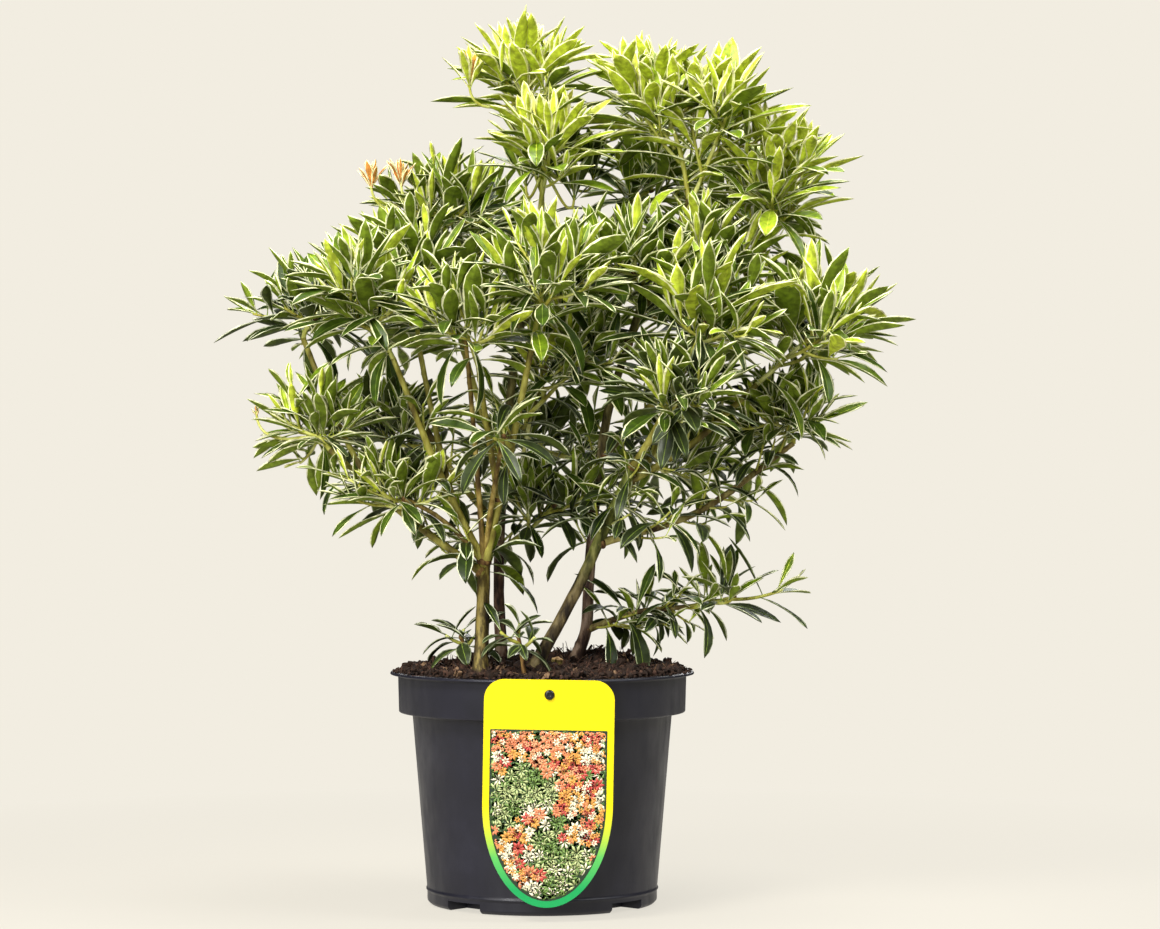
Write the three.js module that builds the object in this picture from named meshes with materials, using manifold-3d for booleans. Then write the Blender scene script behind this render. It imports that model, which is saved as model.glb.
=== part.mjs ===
// A variegated pieris shrub in its nursery pot: pot, soil, plant label with its pin, four stems
// and a cut stub, the boughs that leave the stems, and the masses of leafy shoots at their ends.
// Millimetres, +Z up. The origin is the middle of the pot's flat underside and -Y is the front.

import * as THREE from 'three';
import { mergeVertices } from 'three/addons/utils/BufferGeometryUtils.js';
import Module from 'manifold-3d';

const wasm = await Module();
wasm.setup();

// ---------------------------------------------------------------- driving dimensions

const CLEAR = 0.3; // space between neighbouring solids
const SLIVER = 0.1; // how far a fused surface may move to shed slivers
const GOLDEN_ANGLE = 137.5; // turn from one leaf or shoot to the next, degrees

const POT = {
  height: 144,
  lipRadius: 95,
  lipThickness: 1.5,
  bandTopRadius: 90,
  bandBottomRadius: 89.4,
  bandHeight: 25,
  shoulderRadius: 81,
  footRadius: 71.7,
  footRidge: 1,
  footRidgeHeight: 9,
  footChamfer: 2,
  wall: 1.6,
  floor: 8,
  sides: 36,
};

const NOTCH = { count: 4, firstTurn: 47.9, width: 27, height: 6, depth: 18 };

const SOIL = {
  edgeHeight: 143.6,
  crown: 5.5,
  mound: { x: 37, y: 40, height: 6.5, radius: 26 },
  ringRadii: [74, 48, 22],
};

const LABEL = {
  width: 78,
  straight: 74.5,
  tipLength: 61.5,
  corner: 12,
  thickness: 0.8,
  holeBelowTop: 9,
  holeHeight: 135.6,
  x: 5.4,
  tilt: 1,
};

const PIN = { headRadius: 3, headThickness: 1.5, shankRadius: 1, bite: 0.75 };

const FOOT = { depth: 2.5, flare: 0.4, flareHeight: 9 }; // how a stem stands in the soil

const LEAF = {
  length: 54,
  width: 17.5,
  thickness: 1.1,
  rootHeight: 1.6,
  widestAt: 0.56,
  arch: 0.09,
  droop: 0.1,
  shorter: [1, 0.78], // lengths tried where a whole leaf would touch a neighbour
};

const SHOOT = { leaves: 6, radius: 1.5, tipRadius: 1.35, rosette: 13, youngest: 24, oldest: 96 };

const MASS_STEM = { radius: 1.9, tipRadius: 1.45 };

// Stems rise from a foot in the soil and boughs from a share of their parent's length. `through`
// lists bends on the way, and `lift` raises or, below zero, sags the middle of a plain limb.
const LIMBS = [
  { name: 'stem_front_left', foot: [-37, -55], tip: [-35, -42, 213], radii: [4.8, 3.9] },
  { name: 'stem_leader', foot: [-26, 40], through: [[-28, 35, 200], [-20, 22, 320]], tip: [0, 2, 430],
    radii: [4, 2.2] },
  { name: 'stem_right', foot: [-6, -43], through: [[24, -32, 201], [41, -33, 239]], tip: [57, -42, 273],
    radii: [4.3, 3.3] },
  { name: 'stem_bent', foot: [19, 5], through: [[27, 9, 168], [29, 12, 201], [40, 6, 300]],
    tip: [63, -10, 378], radii: [4, 2.3] },

  { name: 'bough_centre_front', on: 'stem_front_left', at: 0.97, tip: [-5, -85, 345], lift: -4, radii: [3, 2] },
  { name: 'bough_left_low', on: 'stem_front_left', at: 0.9, tip: [-130, -36, 282], lift: -3, radii: [3, 2] },
  { name: 'bough_left_mid', on: 'stem_front_left', at: 0.99, tip: [-89, -75, 337], lift: -6, radii: [2.8, 1.9] },
  { name: 'bough_centre_left', on: 'bough_centre_front', at: 0.3, tip: [-37, -94, 331], lift: -3,
    radii: [2.3, 1.8] },
  { name: 'bough_left_inner', on: 'bough_left_mid', at: 0.32, tip: [-76, -30, 347], lift: -4, radii: [2.2, 1.8] },
  { name: 'bough_left_shoulder', on: 'bough_left_low', at: 0.72, tip: [-150, 8, 352], lift: -6,
    radii: [2.1, 1.8] },
  { name: 'bough_left_top', on: 'stem_leader', at: 0.42, tip: [-65, 18, 402], lift: -6, radii: [2.5, 1.8] },
  { name: 'bough_right', on: 'stem_right', at: 0.62, tip: [156, -14, 286], lift: -12, radii: [2.8, 1.9] },
  { name: 'bough_right_mid', on: 'stem_right', at: 0.98, tip: [87, -75, 331], lift: -3, radii: [2.7, 1.9] },
  { name: 'bough_right_side', on: 'stem_right', at: 0.9, tip: [132, -40, 322], lift: -6, radii: [2.5, 1.9] },
  { name: 'bough_right_upper', on: 'stem_bent', at: 0.55, tip: [138, 10, 404], lift: -8, radii: [2.6, 1.9] },
  { name: 'bough_top_right', on: 'stem_bent', at: 0.86, tip: [91, -8, 438], lift: -4, radii: [2.2, 1.8] },
  { name: 'bough_low_right', on: 'stem_bent', at: 0.1, tip: [92, 2, 184], lift: 4, radii: [2.2, 1.8] },
  { name: 'bough_back_left', on: 'stem_leader', at: 0.3, tip: [-92, 82, 325], lift: -8, radii: [2.8, 1.9] },
  { name: 'bough_back', on: 'stem_leader', at: 0.46, tip: [5, 104, 348], lift: -8, radii: [2.7, 1.9] },
  { name: 'bough_back_right', on: 'stem_bent', at: 0.36, tip: [98, 84, 330], lift: -8, radii: [2.7, 1.9] },
  { name: 'bough_back_top', on: 'stem_leader', at: 0.76, tip: [48, 62, 436], lift: -6, radii: [2.3, 1.8] },
];

// Each mass grows from a share of one limb's length, 1 being its tip, or from the soil. Its stem
// runs to the heart, and its shoots stand round the heart by the golden angle as far as the
// reach. `turn` is the way from +X towards +Y that the first of the side shoots takes, and `size`
// scales the leaves of a weaker mass.
const MASSES = [
  { name: 'foliage_left_tip', on: 'bough_left_low', heart: [-138, -25, 292], reach: [26, 28, 18],
    shoots: 4, turn: 190 },
  { name: 'foliage_left_shoulder', on: 'bough_left_shoulder', heart: [-142, -2, 364], reach: [26, 30, 18],
    shoots: 4, turn: 195 },
  { name: 'foliage_left_front', on: 'bough_left_mid', heart: [-106, -82, 368], reach: [24, 26, 24],
    shoots: 4, turn: 215 },
  { name: 'foliage_left_upper', on: 'bough_left_inner', heart: [-75, -35, 392], reach: [28, 30, 22],
    shoots: 4, turn: 150 },
  { name: 'foliage_left_top', on: 'bough_left_top', heart: [-58, 20, 434], reach: [30, 34, 18],
    shoots: 5, turn: 175 },
  { name: 'foliage_centre_left', on: 'bough_centre_left', heart: [-45, -100, 352], reach: [24, 24, 18],
    shoots: 3, turn: 200 },
  { name: 'foliage_centre_front', on: 'bough_centre_front', heart: [2, -102, 382], reach: [26, 24, 20],
    shoots: 4, turn: 20 },
  { name: 'foliage_front_low', on: 'bough_centre_front', at: 0.55, heart: [-22, -92, 290], reach: [20, 16, 10],
    shoots: 2, turn: 250 },
  { name: 'foliage_left_low', on: 'bough_left_low', at: 0.5, heart: [-84, -52, 252], reach: [32, 24, 14],
    shoots: 4, turn: 230 },
  { name: 'foliage_spire', on: 'stem_leader', heart: [-8, 2, 510], reach: [28, 26, 22],
    shoots: 4, turn: 190 },
  { name: 'foliage_spire_low', on: 'stem_leader', at: 0.9, heart: [2, -30, 464], reach: [26, 24, 22],
    shoots: 4, turn: 10 },
  { name: 'foliage_centre', on: 'stem_bent', heart: [56, -56, 390], reach: [30, 24, 22],
    shoots: 4, turn: 200 },
  { name: 'foliage_front_right', on: 'bough_right_mid', at: 0.5, heart: [82, -98, 312], reach: [30, 20, 14],
    shoots: 4, turn: 330 },
  { name: 'foliage_right_front', on: 'bough_right_mid', heart: [100, -76, 360], reach: [26, 26, 22],
    shoots: 4, turn: 60 },
  { name: 'foliage_right_heart', on: 'bough_right_upper', at: 0.6, heart: [104, -22, 398], reach: [30, 26, 22],
    shoots: 4, turn: 250 },
  { name: 'foliage_top_middle', on: 'bough_top_right', heart: [70, -2, 500], reach: [32, 30, 24],
    shoots: 5, turn: 180 },
  { name: 'foliage_top_end', on: 'bough_top_right', at: 0.85, heart: [112, -8, 484], reach: [28, 34, 24],
    shoots: 4, turn: 280 },
  { name: 'foliage_right_top', on: 'bough_right_upper', heart: [148, 14, 446], reach: [26, 30, 36],
    shoots: 5, turn: 340 },
  { name: 'foliage_right_tip', on: 'bough_right_side', heart: [168, -34, 354], reach: [28, 30, 20],
    shoots: 5, turn: 10 },
  { name: 'foliage_right_low', on: 'bough_right', heart: [152, -14, 298], reach: [24, 28, 14],
    shoots: 4, turn: 200 },
  { name: 'foliage_low_right', on: 'bough_low_right', heart: [120, 6, 190], reach: [42, 24, 12],
    shoots: 4, turn: 350, size: 0.75 },

  { name: 'foliage_centre_low', on: 'stem_leader', at: 0.26, heart: [8, 6, 248], reach: [34, 24, 14],
    shoots: 4, turn: 320 },
  { name: 'foliage_centre_inner', on: 'stem_leader', at: 0.52, heart: [22, -14, 338], reach: [34, 26, 22],
    shoots: 4, turn: 300 },

  { name: 'foliage_back_left_low', on: 'bough_back_left', at: 0.6, heart: [-104, 66, 290], reach: [30, 32, 18],
    shoots: 4, turn: 170 },
  { name: 'foliage_back_left', on: 'bough_back_left', heart: [-108, 98, 366], reach: [32, 34, 24],
    shoots: 4, turn: 160 },
  { name: 'foliage_back_left_top', on: 'bough_left_top', at: 0.7, heart: [-44, 92, 424], reach: [34, 34, 22],
    shoots: 4, turn: 100 },
  { name: 'foliage_back_low', on: 'bough_back', at: 0.5, heart: [-14, 116, 280], reach: [34, 26, 18],
    shoots: 4, turn: 90 },
  { name: 'foliage_back', on: 'bough_back', heart: [8, 132, 372], reach: [34, 28, 24],
    shoots: 4, turn: 80 },
  { name: 'foliage_back_right_low', on: 'bough_back_right', at: 0.55, heart: [80, 88, 266], reach: [34, 32, 18],
    shoots: 4, turn: 40 },
  { name: 'foliage_back_right', on: 'bough_back_right', heart: [88, 118, 376], reach: [34, 30, 24],
    shoots: 4, turn: 60 },
  { name: 'foliage_back_right_end', on: 'bough_right_upper', at: 0.8, heart: [158, 72, 356], reach: [32, 32, 24],
    shoots: 4, turn: 20 },
  { name: 'foliage_back_top', on: 'bough_back_top', heart: [70, 70, 450], reach: [30, 30, 22],
    shoots: 4, turn: 90 },
  { name: 'foliage_back_right_top', on: 'bough_right_upper', at: 0.9, heart: [122, 76, 430], reach: [32, 30, 24],
    shoots: 4, turn: 30 },

  { name: 'foliage_basal_left', foot: [-46, -14], heart: [-50, -20, 166], reach: [12, 12, 6],
    shoots: 2, turn: 180, size: 0.6 },
  { name: 'foliage_basal_middle', foot: [-10, -64], heart: [-14, -70, 170], reach: [14, 10, 8],
    shoots: 2, turn: 200, size: 0.6 },
];

const CROWN_SPREAD = { topPolar: 12, lowPolar: 100 }; // lean of a mass's shoots from upright
const LEAF_SPACE = 46; // how far leaves may stand out of their mass's reach
const LIMB_SIDES = 6;
const LIMB_STEP = 30; // longest straight stretch of a limb

const COLOURS = {
  pot: 0x1f2226,
  soil: 0x3a2b20,
  label: 0xc9c531,
  pin: 0x141414,
  oliveBark: 0x7c7440,
  brownBark: 0x6b4a38,
  greenBark: 0x8d9250,
  darkLeaf: 0x66784f,
  midLeaf: 0x93a45a,
  brightLeaf: 0xbcc35c,
};

// ---------------------------------------------------------------- solids

const UP = new THREE.Vector3(0, 0, 1);
const radians = THREE.MathUtils.degToRad;
const mix = THREE.MathUtils.lerp;
const point = (values) => new THREE.Vector3(...values);

// A closed geometry as a solid that can be joined and cut.
function toSolid(geometry) {
  const bare = geometry.clone();
  bare.deleteAttribute('normal');
  bare.deleteAttribute('uv');
  const merged = mergeVertices(bare, 1e-4);
  const vertProperties = new Float32Array(merged.attributes.position.array);
  const triVerts = new Uint32Array(merged.index.array);
  return new wasm.Manifold(new wasm.Mesh({ numProp: 3, vertProperties, triVerts }));
}

// The largest body of a solid as a geometry. Loose scraps and sealed hollows fall away.
function mainBody(solid) {
  const bodies = solid.asOriginal().simplify(SLIVER).decompose();
  bodies.sort((a, b) => b.volume() - a.volume());
  const { vertProperties, triVerts } = bodies[0].getMesh();
  const geometry = new THREE.BufferGeometry();
  geometry.setAttribute('position', new THREE.BufferAttribute(vertProperties, 3));
  geometry.setIndex(new THREE.BufferAttribute(triVerts, 1));
  return geometry;
}

function mesh(name, geometry, colour, roughness) {
  const flat = geometry.index ? geometry.toNonIndexed() : geometry;
  flat.computeVertexNormals();
  const material = new THREE.MeshStandardMaterial({ color: colour, roughness, metalness: 0 });
  const piece = new THREE.Mesh(flat, material);
  piece.name = name;
  return piece;
}

// Seeded random numbers from 0 to 1.
function random(seed) {
  let state = seed >>> 0;
  return () => {
    state = (state + 0x6d2b79f5) >>> 0;
    let mixed = Math.imul(state ^ (state >>> 15), 1 | state);
    mixed = (mixed + Math.imul(mixed ^ (mixed >>> 7), 61 | mixed)) ^ mixed;
    return ((mixed ^ (mixed >>> 14)) >>> 0) / 4294967296;
  };
}

// ---------------------------------------------------------------- chips: convex bits kept apart

// A convex bit of a limb, twig or leaf: its corners, its own three directions and its box.
function chip(corners, directions) {
  return { corners, directions, box: new THREE.Box3().setFromPoints(corners) };
}

function span(corners, direction) {
  let low = Infinity;
  let high = -Infinity;
  for (const corner of corners) {
    const along = corner.dot(direction);
    low = Math.min(low, along);
    high = Math.max(high, along);
  }
  return [low, high];
}

// Whether some plane passes between two chips with the clearance on it.
function apart(a, b, gap) {
  if (!a.box.clone().expandByScalar(gap).intersectsBox(b.box)) return true;
  const directions = [...a.directions, ...b.directions];
  directions.push(a.box.getCenter(new THREE.Vector3()).sub(b.box.getCenter(new THREE.Vector3())));
  for (const along of a.directions) {
    for (const across of b.directions) {
      directions.push(new THREE.Vector3().crossVectors(along, across));
    }
  }
  return directions.some((direction) => {
    if (direction.lengthSq() < 1e-6) return false;
    direction.normalize();
    const [aLow, aHigh] = span(a.corners, direction);
    const [bLow, bHigh] = span(b.corners, direction);
    return aLow - bHigh > gap || bLow - aHigh > gap;
  });
}

const chips = []; // every chip placed so far, with the limb, mass or shoot that owns it

function isFree(candidate, owners) {
  return chips.every((other) => owners.includes(other.owner) || apart(candidate, other, CLEAR));
}

function place(candidates, owner) {
  for (const candidate of candidates) {
    candidate.owner = owner;
    chips.push(candidate);
  }
}

// ---------------------------------------------------------------- limbs, twigs and leaves

// A round tapering solid along a curve: a cylinder whose rings are moved onto the curve. A foot
// is cut level, whatever the stem's lean.
function sweep(curve, radiusAt, sides, steps, hasFoot = false) {
  const geometry = new THREE.CylinderGeometry(1, 1, 1, sides, steps);
  const frames = curve.computeFrenetFrames(steps, false);
  const position = geometry.attributes.position;
  const rings = Array.from({ length: steps + 1 }, () => []);
  for (let i = 0; i < position.count; i += 1) {
    const step = Math.round((position.getY(i) + 0.5) * steps);
    const share = step / steps;
    const radius = radiusAt(share);
    const corner = curve.getPointAt(share);
    corner.addScaledVector(frames.normals[step], radius * position.getX(i));
    corner.addScaledVector(frames.binormals[step], -radius * position.getZ(i));
    if (hasFoot && step === 0) {
      const tangent = frames.tangents[0];
      corner.addScaledVector(tangent, (curve.getPointAt(0).z - corner.z) / tangent.z);
    }
    position.setXYZ(i, corner.x, corner.y, corner.z);
    rings[step].push(corner);
  }
  const stretches = rings.slice(1).map((ring, i) => chip(
    [...rings[i], ...ring],
    [frames.tangents[i + 1].clone(), frames.normals[i + 1].clone(), frames.binormals[i + 1].clone()],
  ));
  return { geometry, stretches };
}

// One leaf of eight faces: a root edge held in the twig, two sides, a tip and a keel below.
function leaf(root, along, up, length) {
  const side = new THREE.Vector3().crossVectors(up, along).normalize();
  const above = new THREE.Vector3().crossVectors(along, side).normalize();
  const width = LEAF.width * (0.45 + 0.55 * (length / LEAF.length));
  const corner = (forward, across, high) => root.clone()
    .addScaledVector(along, forward)
    .addScaledVector(side, across)
    .addScaledVector(above, high);
  const middle = LEAF.widestAt * length;
  const arch = LEAF.arch * length;
  const corners = [
    corner(0, 0, LEAF.rootHeight / 2),
    corner(0, 0, -LEAF.rootHeight / 2),
    corner(middle, width / 2, arch),
    corner(middle, -width / 2, arch),
    corner(length, 0, -LEAF.droop * length),
    corner(middle, 0, arch - LEAF.thickness),
  ];
  const [rootTop, rootUnder, left, right, tip, keel] = [0, 1, 2, 3, 4, 5];
  const geometry = new THREE.BufferGeometry().setFromPoints(corners);
  geometry.setIndex([
    rootTop, right, left, left, right, tip,
    rootUnder, left, keel, rootUnder, keel, right,
    tip, keel, left, tip, right, keel,
    rootTop, left, rootUnder, rootTop, rootUnder, right,
  ]);
  return { geometry, chip: chip(corners, [along.clone(), side, above]) };
}

// ---------------------------------------------------------------- the soil's surface

function groundHeight(x, y) {
  const fromCentre = Math.min(Math.hypot(x, y) / POT.bandTopRadius, 1);
  const { mound } = SOIL;
  const fromMound = Math.hypot(x - mound.x, y - mound.y) / mound.radius;
  return SOIL.edgeHeight + SOIL.crown * (1 - fromCentre ** 2) + mound.height * Math.exp(-(fromMound ** 2));
}

// ---------------------------------------------------------------- building the limbs

const limbs = new Map();

function limbCurve(spec) {
  const tip = point(spec.tip);
  const start = spec.foot
    ? new THREE.Vector3(...spec.foot, groundHeight(...spec.foot) - FOOT.depth)
    : limbs.get(spec.on).curve.getPointAt(spec.at);
  const middle = start.clone().lerp(tip, 0.5).addScaledVector(UP, spec.lift ?? 0);
  const bends = spec.through ? spec.through.map(point) : [middle];
  return new THREE.CatmullRomCurve3([start, ...bends, tip], false, 'centripetal');
}

// A limb's radius at a share of its length, with the flare of a stem's foot.
function limbRadius(spec, curve, grow) {
  const length = curve.getLength();
  return (share) => {
    const flare = spec.foot ? FOOT.flare * Math.exp(-(share * length) / FOOT.flareHeight) : 0;
    return mix(spec.radii[0], spec.radii[1], share) * (1 + flare) + grow;
  };
}

for (const spec of LIMBS) {
  const curve = limbCurve(spec);
  const steps = Math.max(2, Math.ceil(curve.getLength() / LIMB_STEP));
  const hasFoot = Boolean(spec.foot);
  const { geometry, stretches } = sweep(curve, limbRadius(spec, curve, 0), LIMB_SIDES, steps, hasFoot);
  const grown = toSolid(sweep(curve, limbRadius(spec, curve, CLEAR), LIMB_SIDES, steps, hasFoot).geometry);
  let solid = toSolid(geometry);
  for (const other of limbs.values()) solid = solid.subtract(other.grown);
  limbs.set(spec.name, { spec, curve, grown, body: mainBody(solid) });
  place(stretches, spec.name);
}

// ---------------------------------------------------------------- building the masses

// The places round a mass's heart where its shoots end.
function shootTips(spec) {
  const tips = [];
  for (let k = 0; k < spec.shoots; k += 1) {
    const share = Math.sqrt(k / Math.max(spec.shoots - 1, 1));
    const polar = radians(mix(CROWN_SPREAD.topPolar, CROWN_SPREAD.lowPolar, share));
    const azimuth = radians(spec.turn + (k - 1) * GOLDEN_ANGLE);
    const out = new THREE.Vector3(
      Math.sin(polar) * Math.cos(azimuth),
      Math.sin(polar) * Math.sin(azimuth),
      Math.cos(polar),
    );
    tips.push(point(spec.heart).add(out.multiply(point(spec.reach))));
  }
  return tips;
}

// The stem of a mass, from its limb or the soil to its heart.
function massStem(spec) {
  const heart = point(spec.heart);
  let start;
  let heading;
  if (spec.foot) {
    start = new THREE.Vector3(...spec.foot, groundHeight(...spec.foot) - FOOT.depth);
    heading = UP.clone();
  } else {
    const { curve } = limbs.get(spec.on);
    const share = spec.at ?? 1;
    start = curve.getPointAt(share);
    heading = curve.getTangentAt(share);
    if (share === 1) start.addScaledVector(heading, CLEAR);
  }
  const reach = start.distanceTo(heart);
  const control = start.clone().lerp(heart, 0.5);
  if ((spec.at ?? 1) === 1) control.addScaledVector(heading, 0.25 * reach);
  else control.addScaledVector(UP, -0.12 * reach);
  return new THREE.QuadraticBezierCurve3(start, control, heart);
}

// The twig from the upper half of a mass's stem to the end of one shoot.
function shootCurve(stem, tip, k) {
  const start = stem.getPointAt(0.5).lerp(stem.getPointAt(1), 0.94 - 0.2 * k);
  return new THREE.LineCurve3(start, tip);
}

// The leaves of one shoot, from the youngest at its end to the oldest, in a spiral.
function growLeaves(mass, twig, owner, rng) {
  const axis = twig.getTangent(1).lerp(UP, 0.45).normalize();
  const side = new THREE.Vector3().crossVectors(axis, new THREE.Vector3(0.3, 1, 0.1)).normalize();
  const over = new THREE.Vector3().crossVectors(axis, side);
  const firstTurn = 360 * rng();
  const length = twig.getLength();
  for (let i = 0; i < SHOOT.leaves; i += 1) {
    const age = i / (SHOOT.leaves - 1);
    const turn = radians(firstTurn + i * GOLDEN_ANGLE + 16 * (rng() - 0.5));
    const lean = radians(mix(SHOOT.youngest, SHOOT.oldest, age ** 0.8) + 10 * (rng() - 0.5));
    const size = LEAF.length * (mass.spec.size ?? 1) * mix(0.8, 1, age) * (0.92 + 0.12 * rng());
    const out = side.clone().multiplyScalar(Math.cos(turn)).addScaledVector(over, Math.sin(turn));
    const along = axis.clone().multiplyScalar(Math.cos(lean)).addScaledVector(out, Math.sin(lean));
    const root = twig.getPoint(1 - (1.6 + SHOOT.rosette * age) / Math.max(length, 2 * SHOOT.rosette));
    for (const shorter of LEAF.shorter) {
      const grown = leaf(root, along, axis, size * shorter);
      const inSpace = grown.chip.corners.every((corner) => mass.space(corner));
      if (inSpace && isFree(grown.chip, [owner])) {
        mass.parts.push(toSolid(grown.geometry));
        place([grown.chip], owner);
        break;
      }
    }
  }
}

// Points inside a mass's own space: an egg round its heart, above the pot's rim.
function massSpace(spec) {
  const heart = point(spec.heart);
  const radii = point(spec.reach).addScalar(LEAF_SPACE);
  return (corner) => corner.clone().sub(heart).divide(radii).length() < 1 && corner.z > POT.height + 4;
}

const masses = MASSES.map((spec) => {
  const stem = massStem(spec);
  const hasFoot = Boolean(spec.foot);
  const radiusAt = (share) => mix(MASS_STEM.radius, MASS_STEM.tipRadius, share);
  const { geometry, stretches } = sweep(stem, radiusAt, 3, 2, hasFoot);
  const grown = toSolid(sweep(stem, (share) => radiusAt(share) + 2 * CLEAR, 3, 2, hasFoot).geometry);
  place(stretches, spec.name);
  return { spec, stem, grown, twigs: [], parts: [toSolid(geometry)], space: massSpace(spec) };
});

for (const mass of masses) {
  shootTips(mass.spec).forEach((tip, k) => {
    const twig = shootCurve(mass.stem, tip, k);
    const { geometry, stretches } = sweep(twig, (share) => mix(SHOOT.radius, SHOOT.tipRadius, share), 3, 1);
    const owner = `${mass.spec.name}_${k}`;
    const family = mass.twigs.map((sister) => sister.owner);
    if (!stretches.every((stretch) => isFree(stretch, [mass.spec.name, ...family]))) return;
    mass.twigs.push({ twig, owner });
    mass.parts.push(toSolid(geometry));
    place(stretches, owner);
  });
}

masses.forEach((mass, number) => {
  mass.twigs.forEach(({ twig, owner }, k) => growLeaves(mass, twig, owner, random(1000 * (number + 1) + k)));
});

// A mass as one body, cut clear of the limbs and the earlier masses' stems round its root.
function massBody(mass, number) {
  const neighbours = [...limbs.values(), ...masses.slice(0, number)];
  const cutters = wasm.Manifold.union(neighbours.map(({ grown }) => grown));
  return mainBody(wasm.Manifold.union(mass.parts).subtract(cutters));
}

// ---------------------------------------------------------------- pot, soil, label and pin

function potProfile() {
  const bandBottom = POT.height - POT.bandHeight;
  const shoulder = bandBottom - 1;
  const ridge = POT.footRidgeHeight;
  return [
    [0, 0],
    [POT.footRadius - POT.footChamfer, 0],
    [POT.footRadius, POT.footChamfer],
    [POT.footRadius, ridge - 1],
    [POT.footRadius + POT.footRidge, ridge],
    [POT.footRadius + 0.2, ridge + 1.5],
    [POT.shoulderRadius, shoulder],
    [POT.bandBottomRadius, bandBottom],
    [POT.bandTopRadius, POT.height - POT.lipThickness - 0.5],
    [POT.lipRadius, POT.height - POT.lipThickness],
    [POT.lipRadius - 0.4, POT.height],
    [POT.bandTopRadius - POT.wall, POT.height],
    [POT.bandBottomRadius - POT.wall, bandBottom + POT.wall],
    [POT.shoulderRadius - POT.wall, shoulder + POT.wall],
    [POT.footRadius + 0.2 - POT.wall, POT.floor],
    [0, POT.floor],
  ].map(([radius, height]) => new THREE.Vector2(radius, height));
}

// A profile turned about the upright axis.
function turned(profile, sides) {
  return new THREE.LatheGeometry(profile, sides).rotateX(Math.PI / 2);
}

function pinHoleDepth() {
  return Math.sqrt(POT.bandTopRadius ** 2 - LABEL.x ** 2) - PIN.bite;
}

function makePot() {
  let pot = toSolid(turned(potProfile(), POT.sides));
  for (let i = 0; i < NOTCH.count; i += 1) {
    const notch = new THREE.BoxGeometry(NOTCH.width, 2 * NOTCH.depth, 2 * NOTCH.height);
    notch.translate(0, -POT.footRadius, 0);
    notch.rotateZ(radians(NOTCH.firstTurn + (i * 360) / NOTCH.count));
    pot = pot.subtract(toSolid(notch));
  }
  const hole = new THREE.CylinderGeometry(PIN.shankRadius + CLEAR, PIN.shankRadius + CLEAR, 4, 10);
  hole.translate(LABEL.x, -(pinHoleDepth() - CLEAR + 2), LABEL.holeHeight);
  return mesh('pot', mainBody(pot.subtract(toSolid(hole))), COLOURS.pot, 0.45);
}

function makeSoil() {
  const inside = potProfile().slice(12, 15).map((corner) => corner.setX(corner.x - CLEAR)).reverse();
  const bottom = POT.floor + CLEAR;
  const profile = [new THREE.Vector2(0, bottom), new THREE.Vector2(inside[0].x, bottom)];
  profile.push(inside[1], inside[2]);
  profile.push(new THREE.Vector2(POT.bandTopRadius - POT.wall - CLEAR - 0.1, SOIL.edgeHeight));
  for (const radius of SOIL.ringRadii) profile.push(new THREE.Vector2(radius, SOIL.edgeHeight));
  profile.push(new THREE.Vector2(0, SOIL.edgeHeight));
  const geometry = turned(profile, POT.sides);
  const position = geometry.attributes.position;
  for (let i = 0; i < position.count; i += 1) {
    const onTop = position.getZ(i) > SOIL.edgeHeight - 1;
    if (onTop) position.setZ(i, groundHeight(position.getX(i), position.getY(i)));
  }
  let soil = toSolid(geometry);
  for (const { spec, grown } of [...limbs.values(), ...masses]) {
    if (spec.foot) soil = soil.subtract(grown).subtract(grown.translate([0, 0, -CLEAR]));
  }
  return mesh('soil', mainBody(soil), COLOURS.soil, 0.95);
}

function makeLabel() {
  const half = LABEL.width / 2;
  const top = LABEL.holeBelowTop;
  const waist = top - LABEL.straight;
  const outline = new THREE.Shape();
  outline.moveTo(-half, waist);
  outline.absellipse(0, waist, half, LABEL.tipLength, Math.PI, 2 * Math.PI, false);
  outline.lineTo(half, top - LABEL.corner);
  outline.absarc(half - LABEL.corner, top - LABEL.corner, LABEL.corner, 0, Math.PI / 2, false);
  outline.absarc(-half + LABEL.corner, top - LABEL.corner, LABEL.corner, Math.PI / 2, Math.PI, false);
  const hole = new THREE.Path();
  hole.absarc(0, 0, PIN.shankRadius + CLEAR, 0, 2 * Math.PI, true);
  outline.holes.push(hole);
  const card = new THREE.ExtrudeGeometry(outline, {
    depth: LABEL.thickness,
    bevelEnabled: false,
    curveSegments: 6,
  });
  card.rotateX(Math.PI / 2);
  const label = mesh('plant_label', card, COLOURS.label, 0.4);
  label.rotation.y = radians(LABEL.tilt);
  label.position.set(LABEL.x, -(POT.lipRadius + CLEAR), LABEL.holeHeight);
  return label;
}

function makePin() {
  const face = POT.lipRadius + CLEAR + LABEL.thickness + CLEAR;
  const shank = face - pinHoleDepth() - CLEAR;
  const profile = [
    [0, 0],
    [PIN.shankRadius, 0],
    [PIN.shankRadius, shank],
    [PIN.headRadius, shank],
    [PIN.headRadius, shank + 0.6],
    [PIN.headRadius - 0.8, shank + PIN.headThickness],
    [0, shank + PIN.headThickness],
  ].map(([radius, height]) => new THREE.Vector2(radius, height));
  const pin = mesh('label_pin', new THREE.LatheGeometry(profile, 10), COLOURS.pin, 0.5);
  pin.rotation.x = Math.PI;
  pin.position.set(LABEL.x, -(face - shank), LABEL.holeHeight);
  return pin;
}

// ---------------------------------------------------------------- the shrub

function barkColour(name) {
  if (name === 'stem_front_left' || name === 'stem_right') return COLOURS.oliveBark;
  return name.startsWith('stem') ? COLOURS.brownBark : COLOURS.greenBark;
}

function leafColour([, , height]) {
  if (height > 380) return COLOURS.brightLeaf;
  return height > 320 ? COLOURS.midLeaf : COLOURS.darkLeaf;
}

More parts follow.
